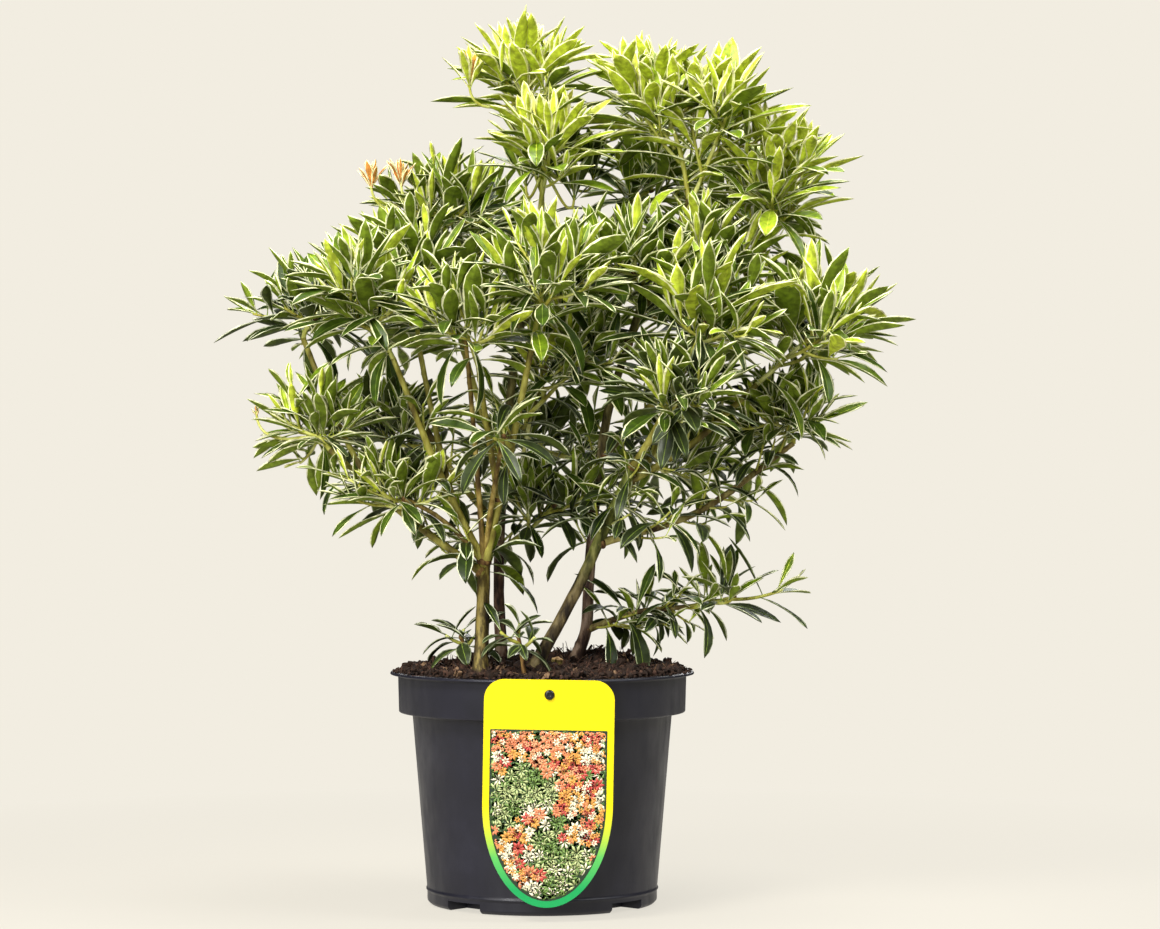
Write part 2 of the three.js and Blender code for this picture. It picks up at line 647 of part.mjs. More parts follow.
const shrub = new THREE.Group();
shrub.add(makePot(), makeSoil(), makeLabel(), makePin());
for (const [name, limb] of limbs) shrub.add(mesh(name, limb.body, barkColour(name), 0.8));
masses.forEach((mass, number) => {
  shrub.add(mesh(mass.spec.name, massBody(mass, number), leafColour(mass.spec.heart), 0.6));
});

export default shrub;
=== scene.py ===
"""The looks of a variegated pieris shrub in its nursery pot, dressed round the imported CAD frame.

The tables below are in millimetres where they name no other unit, and a mesh turns them into
metres when it is made. The origin is the middle of the pot's flat underside, +Z is up and -Y is
the front. The shrub grows by the same rule as its solids: boughs leave the stems, a mass of shoots
stands round its heart by the golden angle, and here each shoot goes on into finer twigs and whole
rosettes of leaves.
"""

import math
from collections import namedtuple

import bpy
import numpy as np
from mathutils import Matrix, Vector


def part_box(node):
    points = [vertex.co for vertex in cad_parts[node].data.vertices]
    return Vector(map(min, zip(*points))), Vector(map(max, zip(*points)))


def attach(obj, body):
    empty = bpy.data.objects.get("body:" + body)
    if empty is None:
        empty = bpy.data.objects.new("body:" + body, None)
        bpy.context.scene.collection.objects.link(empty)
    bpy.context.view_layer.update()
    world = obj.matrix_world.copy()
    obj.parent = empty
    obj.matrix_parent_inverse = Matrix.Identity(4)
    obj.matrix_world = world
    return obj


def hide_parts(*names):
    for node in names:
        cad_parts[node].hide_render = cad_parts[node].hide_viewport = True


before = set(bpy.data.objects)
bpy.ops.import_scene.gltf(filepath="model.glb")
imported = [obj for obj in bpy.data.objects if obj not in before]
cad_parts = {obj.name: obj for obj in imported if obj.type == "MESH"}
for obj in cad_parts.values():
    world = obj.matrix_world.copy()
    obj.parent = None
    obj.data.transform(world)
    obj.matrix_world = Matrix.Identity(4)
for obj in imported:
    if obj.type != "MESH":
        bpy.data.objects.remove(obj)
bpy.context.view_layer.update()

MM = 0.001
UP = np.array([0.0, 0.0, 1.0])
ASIDE = np.array([0.3, 1, 0.1])  # no limb runs along it, so it gives each one a side
GOLDEN_ANGLE = 137.5  # turn from one leaf or shoot to the next, degrees

# ---------------------------------------------------------------- pot, soil and label

POT_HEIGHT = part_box("pot")[1].z / MM
LIP_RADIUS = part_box("pot")[1].x / MM
POT = {
    "lip_thickness": 1.5,
    "band_top_radius": 90,
    "band_bottom_radius": 89.4,
    "band_height": 25,
    "shoulder_radius": 81,
    "foot_radius": 71.7,
    "foot_ridge": 1,
    "foot_ridge_height": 9,
    "foot_chamfer": 2,
    "draft": 0.2,
    "wall": 1.6,
    "floor": 8,
    "rounding": 0.8,
    "sides": 160,
}
NOTCH = {"count": 4, "first_turn": 47.9, "width": 27, "height": 6, "depth": 18}

SOIL = {"edge_height": 143.6, "crown": 5.5, "radius": 88, "depth": 20, "smooth_edge": 6, "sides": 200,
        "rings": 62}
MOUND = {"x": 37, "y": 40, "height": 6.5, "radius": 26}
CLODS = [(1.6, 9, 3), (1.1, 4.1, 4), (0.7, 1.9, 5)]  # height, width and seed of its lumps
STUB = {"x": 9, "y": -22, "depth": 2, "height": 6, "lean": (0.8, -0.6), "radius": 3.6, "flare": (0.3, 3)}

# Loose crumbs: how many lie all over the soil, round its rim and on the lip, and between which
# radii. Those on the lip lie in two heaps, and those round the rim are piled up.
CRUMBS = {
    "over": 1900,
    "rim": 560,
    "lip": 90,
    "rim_span": (80, 89),
    "lip_span": (88.5, 93.5),
    "heap_turns": (0.25, 3.2),
    "pile": 2.2,
    "least": 0.45,
    "most": 3.4,
    "most_on_lip": 1.2,
    "red_share": 0.16,
}
# Flakes and fibres of bark, and the shares of them that are red, dark and tan.
CHIPS = {
    "flakes": 460,
    "fibres": 320,
    "radius": 86,
    "flake_length": (1.6, 5),
    "flake_width": (0.7, 2),
    "flake_thickness": (0.3, 0.9),
    "fibre_length": (4, 9),
    "fibre_width": 0.22,
    "lift": 0.8,
    "shares": (0.5, 0.34, 0.16),
}

LABEL = {
    "width": 78,
    "straight": 74.5,
    "tip_length": 61.5,
    "corner": 12,
    "panel_corner": 0.6,
    "thickness": 0.8,
    "hole_below_top": 9,
    "hole_height": 135.6,
    "x": 5.4,
    "tilt": 1,
    "header": 30,
    "border": 4,
    "green_from": 66,
    "green_at": 116,
    "clear": 0.3,
    "print": 0.08,
    "layer": 0.03,
    "ink": 0.02,
}
# The card's ground, yellow above and passing into green round its tip.
GROUND = [(0, "ddc900"), (0.35, "afc334"), (0.62, "55ae53"), (1, "15934e")]
# The print's inks, and its layers from the back: inks, pitch, length and width of a leaf or petal,
# how many stand round a point, and which way they thin out: 1 towards the foot, -1 towards the top.
INKS = {"forest": "1c2a18", "moss": "44602c", "leaf": "6f8c44", "pale": "b4bf80", "cream": "ece4c2",
        "coral": "dc8258", "peach": "e6a878", "amber": "dc9a48", "red": "b8443a"}
SPRAYS = [
    ("moss leaf moss forest", 4.6, 6.4, 2.4, 7, 0),
    ("pale leaf cream pale", 5.2, 5.4, 1.5, 7, -1),
    ("coral coral amber red cream", 5.4, 4.6, 1.9, 8, 1),
    ("peach coral cream amber", 4.4, 2.4, 1.1, 6, 1),
]
# The drifts in which it thickens: their size and their share against the height on the panel, which
# counts from its middle, and how far a sprig strays from its place, against the pitch.
DRIFT = {"width": 15, "height": 12, "share": 0.9, "middle": 0.45, "stray": 0.35}
PIN = {"head_radius": 3, "head_thickness": 1.5, "shank_radius": 1, "dimple_radius": 1.1, "rounding": 0.35,
       "sides": 40}
CLEAR = 0.3  # space that the solids keep between them

# ---------------------------------------------------------------- stems, boughs and masses

# A stem or bough. "on" is its foot in the soil, or the limb that it leaves at a share of that one's
# length. "through" lists its bends, and where it has none, "lift" raises its middle.
Limb = namedtuple("Limb", "name on tip radii at lift through", defaults=(1, 0, ()))

# A mass of shoots that fills its reach round its heart. "on" and "at" are as for a limb, and "turn"
# is where its first side shoot goes, in degrees from +X towards +Y. "size" is its leaves' and
# "spread" the share of its reach that the shoots cross. "kind" names its rosettes where they aren't
# tips, "ages" its colours, part age and part painted light and shade, where they don't follow
# its height, and a bare mass has no old leaves.
Mass = namedtuple("Mass", "name on heart reach turn shoots at size spread kind ages bare",
                  defaults=(4, 1, 1, 0.82, None, None, False))

LIMBS = [
    Limb("stem_front_left", (-37, -55), (-35, -42, 213), (4.8, 3.9)),
    Limb("stem_leader", (-26, 40), (0, 2, 430), (4, 2.2), through=[(-28, 35, 200), (-20, 22, 320)]),
    Limb("stem_right", (-6, -43), (57, -42, 273), (4.3, 3.3), through=[(24, -32, 201), (41, -33, 239)]),
    Limb("stem_bent", (19, 5), (63, -10, 378), (4, 2.3), through=[(27, 9, 168), (29, 12, 201), (40, 6, 300)]),
    Limb("bough_centre_front", "stem_front_left", (-5, -85, 345), (3, 2), 0.97, -4),
    Limb("bough_left_low", "stem_front_left", (-130, -36, 282), (3, 2), 0.9, -3),
    Limb("bough_left_mid", "stem_front_left", (-89, -75, 337), (2.8, 1.9), 0.99, -6),
    Limb("bough_centre_left", "bough_centre_front", (-37, -94, 331), (2.3, 1.8), 0.3, -3),
    Limb("bough_left_inner", "bough_left_mid", (-76, -30, 347), (2.2, 1.8), 0.32, -4),
    Limb("bough_left_shoulder", "bough_left_low", (-150, 8, 352), (2.1, 1.8), 0.72, -6),
    Limb("bough_left_top", "stem_leader", (-65, 18, 402), (2.5, 1.8), 0.42, -6),
    Limb("bough_right", "stem_right", (156, -14, 286), (2.8, 1.9), 0.62, -12),
    Limb("bough_right_mid", "stem_right", (87, -75, 331), (2.7, 1.9), 0.98, -3),
    Limb("bough_right_side", "stem_right", (132, -40, 322), (2.5, 1.9), 0.9, -6),
    Limb("bough_right_upper", "stem_bent", (138, 10, 404), (2.6, 1.9), 0.55, -8),
    Limb("bough_top_right", "stem_bent", (91, -8, 438), (2.2, 1.8), 0.86, -4),
    Limb("bough_low_right", "stem_bent", (92, 2, 184), (2.2, 1.8), 0.1, 4),
    Limb("bough_back_left", "stem_leader", (-92, 82, 325), (2.8, 1.9), 0.3, -8),
    Limb("bough_back", "stem_leader", (5, 104, 348), (2.7, 1.9), 0.46, -8),
    Limb("bough_back_right", "stem_bent", (98, 84, 330), (2.7, 1.9), 0.36, -8),
    Limb("bough_back_top", "stem_leader", (48, 62, 436), (2.3, 1.8), 0.76, -6),
]

MASSES = [
    Mass("left_tip", "bough_left_low", (-138, -25, 292), (26, 28, 18), 190, size=0.85, ages="mid"),
    Mass("left_shoulder", "bough_left_shoulder", (-142, -2, 364), (26, 30, 18), 195, size=0.93, ages="old"),
    Mass("left_front", "bough_left_mid", (-106, -82, 368), (24, 26, 24), 215),
    Mass("left_upper", "bough_left_inner", (-75, -35, 392), (28, 30, 22), 150),
    Mass("left_top", "bough_left_top", (-58, 20, 434), (30, 34, 18), 175, 5, size=0.9, spread=0.7,
         ages="mid"),
    Mass("centre_left", "bough_centre_left", (-45, -100, 352), (24, 24, 18), 200, 3),
    Mass("centre_front", "bough_centre_front", (2, -102, 382), (26, 24, 20), 20),
    Mass("front_low", "bough_centre_front", (-22, -92, 290), (20, 16, 10), 250, 2, 0.55, kind="whorl"),
    Mass("left_low", "bough_left_low", (-84, -52, 252), (32, 24, 14), 230, 4, 0.5, 0.78, 0.7, ages="mid"),
    Mass("spire", "stem_leader", (-8, 2, 510), (28, 26, 22), 190, spread=0.68, ages="fresh", bare=True),
    Mass("spire_low", "stem_leader", (2, -30, 464), (26, 24, 22), 10, at=0.9, spread=0.6, ages="fresh",
         bare=True),
    Mass("centre", "stem_bent", (56, -56, 390), (30, 24, 22), 200),
    Mass("front_right", "bough_right_mid", (82, -98, 312), (30, 20, 14), 330, at=0.5),
    Mass("right_front", "bough_right_mid", (100, -76, 360), (26, 26, 22), 60, size=1.04, ages="clear"),
    Mass("right_heart", "bough_right_upper", (104, -22, 398), (30, 26, 22), 250, at=0.6),
    Mass("top_middle", "bough_top_right", (70, -2, 500), (32, 30, 24), 180, 5, spread=0.58, ages="lit"),
    Mass("top_end", "bough_top_right", (112, -8, 484), (28, 34, 24), 280, at=0.85, spread=0.7, ages="lit"),
    Mass("right_top", "bough_right_upper", (148, 14, 446), (26, 30, 36), 340, 5, spread=0.7, ages="lit"),
    Mass("right_tip", "bough_right_side", (168, -34, 354), (28, 30, 20), 10, 5, size=1.06, spread=1,
         ages="clear"),
    Mass("right_low", "bough_right", (152, -14, 298), (24, 28, 14), 200, size=0.88, ages="mid"),
    Mass("low_right", "bough_low_right", (120, 6, 190), (42, 24, 12), 350, size=0.92, kind="side"),
    Mass("centre_low", "stem_leader", (8, 6, 248), (34, 24, 14), 320, at=0.26, size=0.8),
    Mass("centre_inner", "stem_leader", (22, -14, 338), (34, 26, 22), 300, at=0.52),
    Mass("back_left_low", "bough_back_left", (-104, 66, 290), (30, 32, 18), 170, at=0.6),
    Mass("back_left", "bough_back_left", (-108, 98, 366), (32, 34, 24), 160),
    Mass("back_left_top", "bough_left_top", (-44, 92, 424), (34, 34, 22), 100, at=0.7),
    Mass("back_low", "bough_back", (-14, 116, 280), (34, 26, 18), 90, at=0.5),
    Mass("back", "bough_back", (8, 132, 372), (34, 28, 24), 80),
    Mass("back_right_low", "bough_back_right", (80, 88, 266), (34, 32, 18), 40, at=0.55),
    Mass("back_right", "bough_back_right", (88, 118, 376), (34, 30, 24), 60),
    Mass("back_right_end", "bough_right_upper", (158, 72, 356), (32, 32, 24), 20, at=0.8),
    Mass("back_top", "bough_back_top", (70, 70, 450), (30, 30, 22), 90),
    Mass("back_right_top", "bough_right_upper", (122, 76, 430), (32, 30, 24), 30, at=0.9),
    Mass("basal_left", (-46, -14), (-50, -20, 166), (12, 12, 6), 180, 3, size=0.9, kind="basal",
         ages="shade"),
    Mass("basal_middle", (-10, -64), (-14, -70, 170), (14, 10, 8), 200, 3, size=0.8, kind="basal",
         ages="shade"),
]
CROWN_SPREAD = {"top_polar": 12, "low_polar": 100, "bare_polar": 66}  # lean of a mass's shoots from upright
HEIGHTS = {"bright": 380, "mid": 320, "dark": 0}  # the heights in the crown, and where each starts; the lowest has darker blades, partly painted shade
BACK_FROM = 50  # the depth at which its back starts

# The stem of a mass bows on from a limb's tip, and one from a limb's side sags as a twig does, by
# these shares of its reach.
BOW = 0.25
SAG = 0.12
# Shares of a mass's stem: where its knot and its stalks stand, how low a shoot may leave, and how
# far up from there the first one leaves and how much lower the next. Then the shares of a shoot
# where its lower leaves and side twigs are, and the size of its tip's leaves. The whorl is so many
# millimetres up the stem.
GROWTH = {
    "knot": 0.98,
    "stalks": 0.9,
    "lowest": 0.25,
    "first": 0.94,
    "apart": 0.2,
    "skirt": 0.55,
    "side_twigs": (0.35, 0.6),
    "tip_size": (0.86, 1.1),
    "whorl": 14,
}
# The least reach of a finer twig and the least size of a sprig, and what chance adds.
SIDE_REACH = (18, 10)
SPRIG_REACH = (12, 16)
SPRIG_SIZE = (0.9, 0.3)

# New growth and leafy twigs on stalks of their own, beyond the shoots of a mass: where each ends,
# its size and its colours.
TUFTS = {
    "left_top": [((-107, 0, 448), 1, "tuft"), ((-88, -4, 449), 1, "tuft")],
    "left_tip": [((-176, -28, 306), 0.3, "tuft")],
    "spire": [((-45, -16, 509), 1.5, "gold")],
    "spire_low": [((14, -12, 464), 1.9, "dark"), ((32, -4, 454), 1.8, "dark"), ((-10, -16, 448), 1.8, "mid"),
                  ((20, -16, 440), 1.8, "dark")],
}
TUFT_STALK = 24  # the stretch of its stalk that stands upright

# Slender stems that fan out of the front stem's fork, each to the heart of a mass.
RISERS = [("left_low", 0.97), ("front_low", 0.99), ("centre_left", 0.95)]
RISER = {"limb": "stem_front_left", "lift": 14}

# Small shaded sprigs along the limbs: the limb, the stretch of its length they stand on, how many
# there are and how big their leaves.
SPRIGS = [
    ("stem_front_left", (0.88, 1), 4, 1.25),
    ("stem_right", (0.6, 1), 6, 1),
    ("stem_bent", (0.3, 0.62), 6, 1),
    ("stem_leader", (0.22, 0.5), 6, 1),
    ("stem_leader", (0.78, 0.98), 5, 1.1),
    ("bough_left_low", (0.12, 0.8), 5, 1),
    ("bough_left_mid", (0.3, 0.7), 3, 1),
    ("bough_centre_front", (0.3, 0.7), 2, 1),
    ("bough_right", (0.1, 0.95), 11, 1.1),
    ("bough_right_side", (0.2, 0.8), 5, 1),
    ("bough_right_upper", (0.1, 0.6), 5, 1),
    ("bough_low_right", (0.05, 0.45), 5, 1.2),
    ("bough_low_right", (0.45, 1), 6, 0.8),
    ("bough_back_left", (0.15, 0.8), 6, 1),
    ("bough_back", (0.15, 0.8), 6, 1),
    ("bough_back_right", (0.15, 0.8), 6, 1),
]

FOOT_DEPTH = 2.5  # how deep a stem's foot stands in the soil
FLARE = {"stem": (0.4, 9), "bough": (0.45, 5)}  # how much thicker a limb starts, and over what length
BARK_SHARE = {"stem": 0.92, "bough": 0.88}  # how much of its solid's radius a limb's bark has
# A knot's half length, how far its bulge would reach and how much thicker than its limb it is.
KNOT = {"half_length": 2.2, "roundness": 2.6, "over_bough": 1.45, "over_twig": 1.35}
# The radii at both ends of the twigs and slender stems.
TAPERS = {"riser": (1.9, 1.2), "mass": (1.6, 1.2), "shoot": (1.25, 0.95), "stalk": (1.1, 0.8),
          "twig": (0.95, 0.75), "sprig": (0.85, 0.6)}
# The corners round each kind of limb, and the length from one ring of them to the next.
GRADES = {"stem": (28, 1.6), "bough": (16, 1.6), "riser": (12, 1.6), "stub": (18, 0.8), "mass": (8, 3),
          "shoot": (7, 3), "stalk": (7, 3), "twig": (6, 4), "sprig": (6, 4), "knot": (8, 0.8)}
# The depth of the bark's furrows, and where the first scar of a fallen leaf is, how far apart they
# are and how high. The stub is too short for one.
RELIEF = {"stem": (0.32, 14, 24, 0.5), "bough": (0.12, 14, 8.5, 0.38), "riser": (0.1, 10, 8.5, 0.35),
          "stub": (0.3, 14, 24, 0.5), "mass": (0.06, 5, 6, 0.3)}
SCAR = {"length": 1.2, "turn": 0.7, "clear_of_tip": 4}

# ---------------------------------------------------------------- leaves

# A leaf's margin, rib and waves, and how it broadens: half its width goes with t**rise * (1-t)**fall.
LEAF = {
    "length": 51.5,
    "width": 11.4,
    "least_half": 0.6,
    "thickness": 0.4,
    "margin": 0.66,
    "margin_span": (0.5, 1.7),
    "rib": 0.26,
    "wave": (0.15, 0.7),
    "ripples": 9,
    "rise": 1.65,
    "fall": 0.94,
}

# How the leaves of a rosette stand: their least number, their lean from the shoot and their bend in
# degrees from the youngest to the oldest, the length of shoot they cover, the youngest one's size,
# their length and width against LEAF, and how many of the youngest colours they are past.
Stand = namedtuple("Stand", "count lean bend cover young length width past")
ROSETTES = {
    "tip": Stand(11, (10, 66), (-14, 30), 25, 0.58, 1.03, 1.06, 0),
    "side": Stand(6, (16, 68), (-8, 34), 15, 0.55, 0.84, 0.9, 1),
    "whorl": Stand(5, (58, 92), (16, 62), 9, 0.9, 0.86, 0.85, 3),
    "skirt": Stand(1, (60, 96), (18, 60), 9, 0.9, 0.88, 0.85, 3),
    "sprig": Stand(5, (28, 88), (16, 70), 13, 0.7, 0.64, 0.62, 2),
    "basal": Stand(5, (34, 88), (24, 66), 14, 0.85, 0.64, 0.88, 4),
    "tuft": Stand(11, (4, 36), (-12, 16), 3, 0.8, 0.36, 0.34, 0),
}
TO_LIGHT = 0.38  # how far a rosette turns from its twig's heading to upright
SWAY = {"turn": 22, "lean": 16, "bend": 24, "twist": 40}  # how far chance moves a leaf, degrees
FOLD = {"young": 34, "old": 8, "chance": 16}  # how far a leaf's halves fold up, degrees
# The least share of its size, width and margin that a leaf has, and what chance adds.
CHANCE = {"size": (0.84, 0.26), "width": (0.76, 0.5), "margin": (0.7, 0.7)}
TONE = {"rosette": 2.4, "shift": -0.8, "leaf": 2.2}  # how many colours chance moves them
BREADTH = {"bright": 0.94, "mid": 1, "dark": 0.9}  # of the leaves at each height in the crown

# Leaf colours from the youngest sprays to the oldest and most shaded.
BLADES = {
    "copper": "bc6826",
    "amber": "dc9c3a",
    "golden": "e0d868",
    "lime": "b8be46",
    "bright": "92a624",
    "green": "5c730e",
    "deep": "364a0c",
    "dark": "1f2d09",
    "grey": "293316",
}
UNDERSIDES = {"under_copper": "c4823c", "under_bright": "b0bc38", "under_green": "6c7e22",
              "under_dark": "44501e"}
# The dullest margin is the cream one darkened as painted shade, for the grey blades, most of them on the
# basal shoots low under the crown.
MARGINS = {"margin_golden": "f2eeb2", "margin_cream": "e4e4b2", "margin_pale": "ced2b0",
           "margin_dull": "8e9670"}
RIBS = {"rib_bright": "bac644", "rib_dark": "728634"}
EDGES = {"margin_golden": 1.25, "margin_cream": 1, "margin_pale": 0.95, "margin_dull": 0.8}  # their width
YOUNG = ("margin_golden", "rib_bright", "under_bright")
LOOKS = {  # what goes with a blade: its margin, midrib and underside
    "copper": ("margin_golden", "rib_bright", "under_copper"),
    "amber": ("margin_golden", "rib_bright", "under_copper"),
    "golden": YOUNG,
    "lime": YOUNG,
    "bright": YOUNG,
    "green": ("margin_cream", "rib_bright", "under_green"),
    "deep": ("margin_cream", "rib_dark", "under_green"),
    "dark": ("margin_pale", "rib_dark", "under_dark"),
    "grey": ("margin_dull", "rib_dark", "under_dark"),
}
# The blades that the leaves of a rosette take as they age, for each height in the crown and for
# the masses, twigs and tufts that name one of their own. Beside age they hold painted light and
# shade: the lit, fresh and clear lists are brighter for the top and right of the crown, where light
# falls on the leaves and shines through them, and the dark height and the shade list are darker
# for leaves low and deep in the crown, where it lies in shade.
AGE_AND_LIGHT = {
    "tuft": "amber copper copper copper",
    "gold": "amber amber golden golden",
    "lit": "lime lime lime bright bright bright green",
    "fresh": "golden lime lime lime bright bright green",
    "clear": "bright bright green green bright green deep",
    "bright": "bright bright green green green deep deep",
    "mid": "bright bright green green green deep deep",
    "dark": "bright green green deep deep dark grey",
    "old": "green green deep deep deep dark dark",
    "shade": "deep dark dark grey dark grey grey",
}
GLOSS = [(BLADES, 0.42, 0.28), (UNDERSIDES, 0.6, 0.12), ({**MARGINS, **RIBS}, 0.55, 0.15)]
LEAF_TONES = [(0.36, 0.82), (0.5, 1), (0.64, 1.16)]  # how dark and light a leaf's patches are

# Barks: their dark, middle and light colours, the width of a patch and the roughness, then for a
# stem the heights between which it turns younger, and its colours there.
BARKS = {
    "bark_olive": ("1c1206 463a15 86763c", 4, 0.75, (185, 222), "44360f 746424 9c8e44"),
    "bark_right": ("1e150a 463a20 70623e", 5, 0.75, (196, 240), "3c4216 626a26 868c40"),
    "bark_brown": ("2b1d16 5a4030 907a64", 5, 0.75, (230, 330), "3e3a1a 686230 8e884c"),
    "bark_bent": ("2a1a12 54402f 8a7460", 5, 0.75, (230, 330), "3e3a1a 686230 8e884c"),
    "bark_riser": ("4a3816 7e692f a89550", 6, 0.65),
    "bark_low": ("44341a 786838 a09656", 6, 0.7),
    "bark_green": ("54481a 827a2e aea850", 9, 0.6),
    "shoot_green": ("948e36 b4b44c d2d482", 12, 0.5),
    "node_brown": ("3e2a16 6a4c28 94743e", 3, 0.7),
    "cut_wood": ("9a7448 c79f6c dcbc8c", 2, 0.8),
}
BARK_STOPS = (0.38, 0.5, 0.63)  # where the three colours stand in the streaks
SLOTS = {"stem_front_left": "bark_olive", "stem_right": "bark_olive", "stem_leader": "bark_brown",
         "stem_bent": "bark_brown"}  # the boughs are bark_green
SKINS = {"stem_right": "bark_right", "stem_bent": "bark_bent", "bough_right": "bark_low",
         "bough_low_right": "bark_low"}  # where the skin isn't named after the slot

# ---------------------------------------------------------------- stage, light and camera

BACKDROP = "f2ede1"
PAPER = "b4afa3"
STAGE_SIDES = 96
FLOOR = {"radius": 900, "top": -0.5, "bottom": -6}
SWEEP = {"radius": 4600, "curve": 900, "below": 2, "bottom": -8, "eaves": (3700, 4200), "roof": 5200}
LIGHTS = {  # place, target, width, power and tint, in metres and watts
    "key": ((-1.0, -1.4, 2.1), (0, 0, 0.35), 0.9, 84, (1, 0.98, 0.94)),
    "top": ((0.4, 0.3, 2.4), (0, 0, 0.4), 1.2, 54, (1, 1, 1)),
    "back": ((0.3, 2.3, 1.3), (0, 0, 0.35), 1.2, 18, (1, 1, 1)),
    "front": ((-0.9, -2.3, 0.9), (0, 0, 0.35), 1.2, 54, (1, 1, 1)),
    "right": ((1.9, -0.7, 2.2), (0.05, 0, 0.42), 1.2, 58, (0.96, 0.98, 1)),
}
WORLD = {"tint": (1, 0.99, 0.97, 1), "strength": 0.08}
CAMERA = {"x": 23.6, "y": -2100, "height": 273, "focal_pixels": 3360}
PHOTO_WIDTH = 1160
SENSOR_WIDTH = 36  # millimetres


# ---------------------------------------------------------------- numbers and vectors


def mix(low, high, share):
    return low + (high - low) * share


def unit(vector):
    return vector / np.linalg.norm(vector, axis=-1, keepdims=True)


def square_to(heading):
    """Two directions at right angles to a heading and to each other."""
    side = unit(np.cross(heading, ASIDE))
    return side, np.cross(heading, side)


def turns(sides):
    """The angles of so many corners round a circle."""
    return np.arange(sides) * 2 * math.pi / sides


def varied(span, rng):
    """A least value with a part that chance adds."""
    least, more = span
    return least + more * rng()


def random(seed):
    """Seeded random numbers from 0 to 1, drawn as the solids draw them."""
    whole = 0xFFFFFFFF
    state = seed & whole

    def draw():
        nonlocal state
        state = (state + 0x6D2B79F5) & whole
        mixed = ((state ^ (state >> 15)) * (1 | state)) & whole
        mixed = (mixed + ((mixed ^ (mixed >> 7)) * (61 | mixed) & whole)) & whole ^ mixed
        return ((mixed ^ (mixed >> 14)) & whole) / (whole + 1)

    return draw


def noise(x, y, seed):
    """Smooth random heights from -1 to 1 on a unit grid."""
    size = 64
    heights = np.random.default_rng(seed).uniform(-1, 1, (size, size))
    column, row = np.floor(x).astype(int), np.floor(y).astype(int)
    across, along = x - column, y - row
    across, along = (share * share * (3 - 2 * share) for share in (across, along))
    left, right = column % size, (column + 1) % size
    low, high = row % size, (row + 1) % size
    near = mix(heights[left, low], heights[right, low], across)
    far = mix(heights[left, high], heights[right, high], across)
    return mix(near, far, along)


def ground_height(x, y):
    """The soil's mean surface: a low crown and one mound behind the stems."""
    from_centre = np.minimum(np.hypot(x, y) / POT["band_top_radius"], 1)
    from_mound = np.hypot(x - MOUND["x"], y - MOUND["y"]) / MOUND["radius"]
    crown = SOIL["crown"] * (1 - from_centre**2)
    return SOIL["edge_height"] + crown + MOUND["height"] * np.exp(-(from_mound**2))


class Path:
    """A curve measured along its length."""

    def __init__(self, points):
        self.points = np.asarray(points, float)
        steps = np.linalg.norm(np.diff(self.points, axis=0), axis=1)
        self.marks = np.concatenate([[0.0], np.cumsum(steps)])
        self.length = self.marks[-1]

    def at(self, share):
        where = np.asarray(share) * self.length
        return np.stack([np.interp(where, self.marks, self.points[:, axis]) for axis in range(3)], axis=-1)

    def heading(self, share):
        share = np.asarray(share, float)
        return unit(self.at(np.minimum(share + 0.01, 1)) - self.at(np.maximum(share - 0.01, 0)))


def through_points(corners, pieces=48):
    """A centripetal Catmull-Rom curve through the given points."""
    corners = [np.asarray(corner, float) for corner in corners]
    corners = [2 * corners[0] - corners[1], *corners, 2 * corners[-1] - corners[-2]]
    t = np.linspace(0, 1, pieces)[:, None]
    points = []
    for a, b, c, d in zip(corners, corners[1:], corners[2:], corners[3:]):
        before, between, after = (np.linalg.norm(q - p) ** 0.5 for p, q in ((a, b), (b, c), (c, d)))
        leave = ((b - a) / before - (c - a) / (before + between) + (c - b) / between) * between
        arrive = ((c - b) / between - (d - b) / (between + after) + (d - c) / after) * between
        points.append(b + leave * t + (3 * (c - b) - 2 * leave - arrive) * t**2
                      + (2 * (b - c) + leave + arrive) * t**3)
    return Path(np.concatenate([points[0]] + [stretch[1:] for stretch in points[1:]]))


def bezier(start, control, end, pieces):
    """Points along a quadratic Bezier curve."""
    t = np.linspace(0, 1, pieces)[:, None]
    return start * (1 - t) ** 2 + 2 * control * t * (1 - t) + end * t**2


def arc(start, control, end, pieces=24):
    return Path(bezier(start, control, end, pieces))


def bowed(start, tip):
    """A twig that leaves low and turns up towards the light."""
    reach = np.linalg.norm(tip - start)
    return arc(start, (start + tip) / 2 - UP * SAG * reach, tip, 12)


# ---------------------------------------------------------------- meshes


def flipped(faces):
    """Faces seen from their other side, each from the same first corner."""
    return np.concatenate([faces[:, :1], faces[:, :0:-1]], axis=1)


def repeated(faces, count, corners):
    """The faces of so many copies of a form, each with its own corners."""
    offsets = corners * np.arange(count)[:, None, None]
    return (faces[None] + offsets).reshape(-1, faces.shape[1])


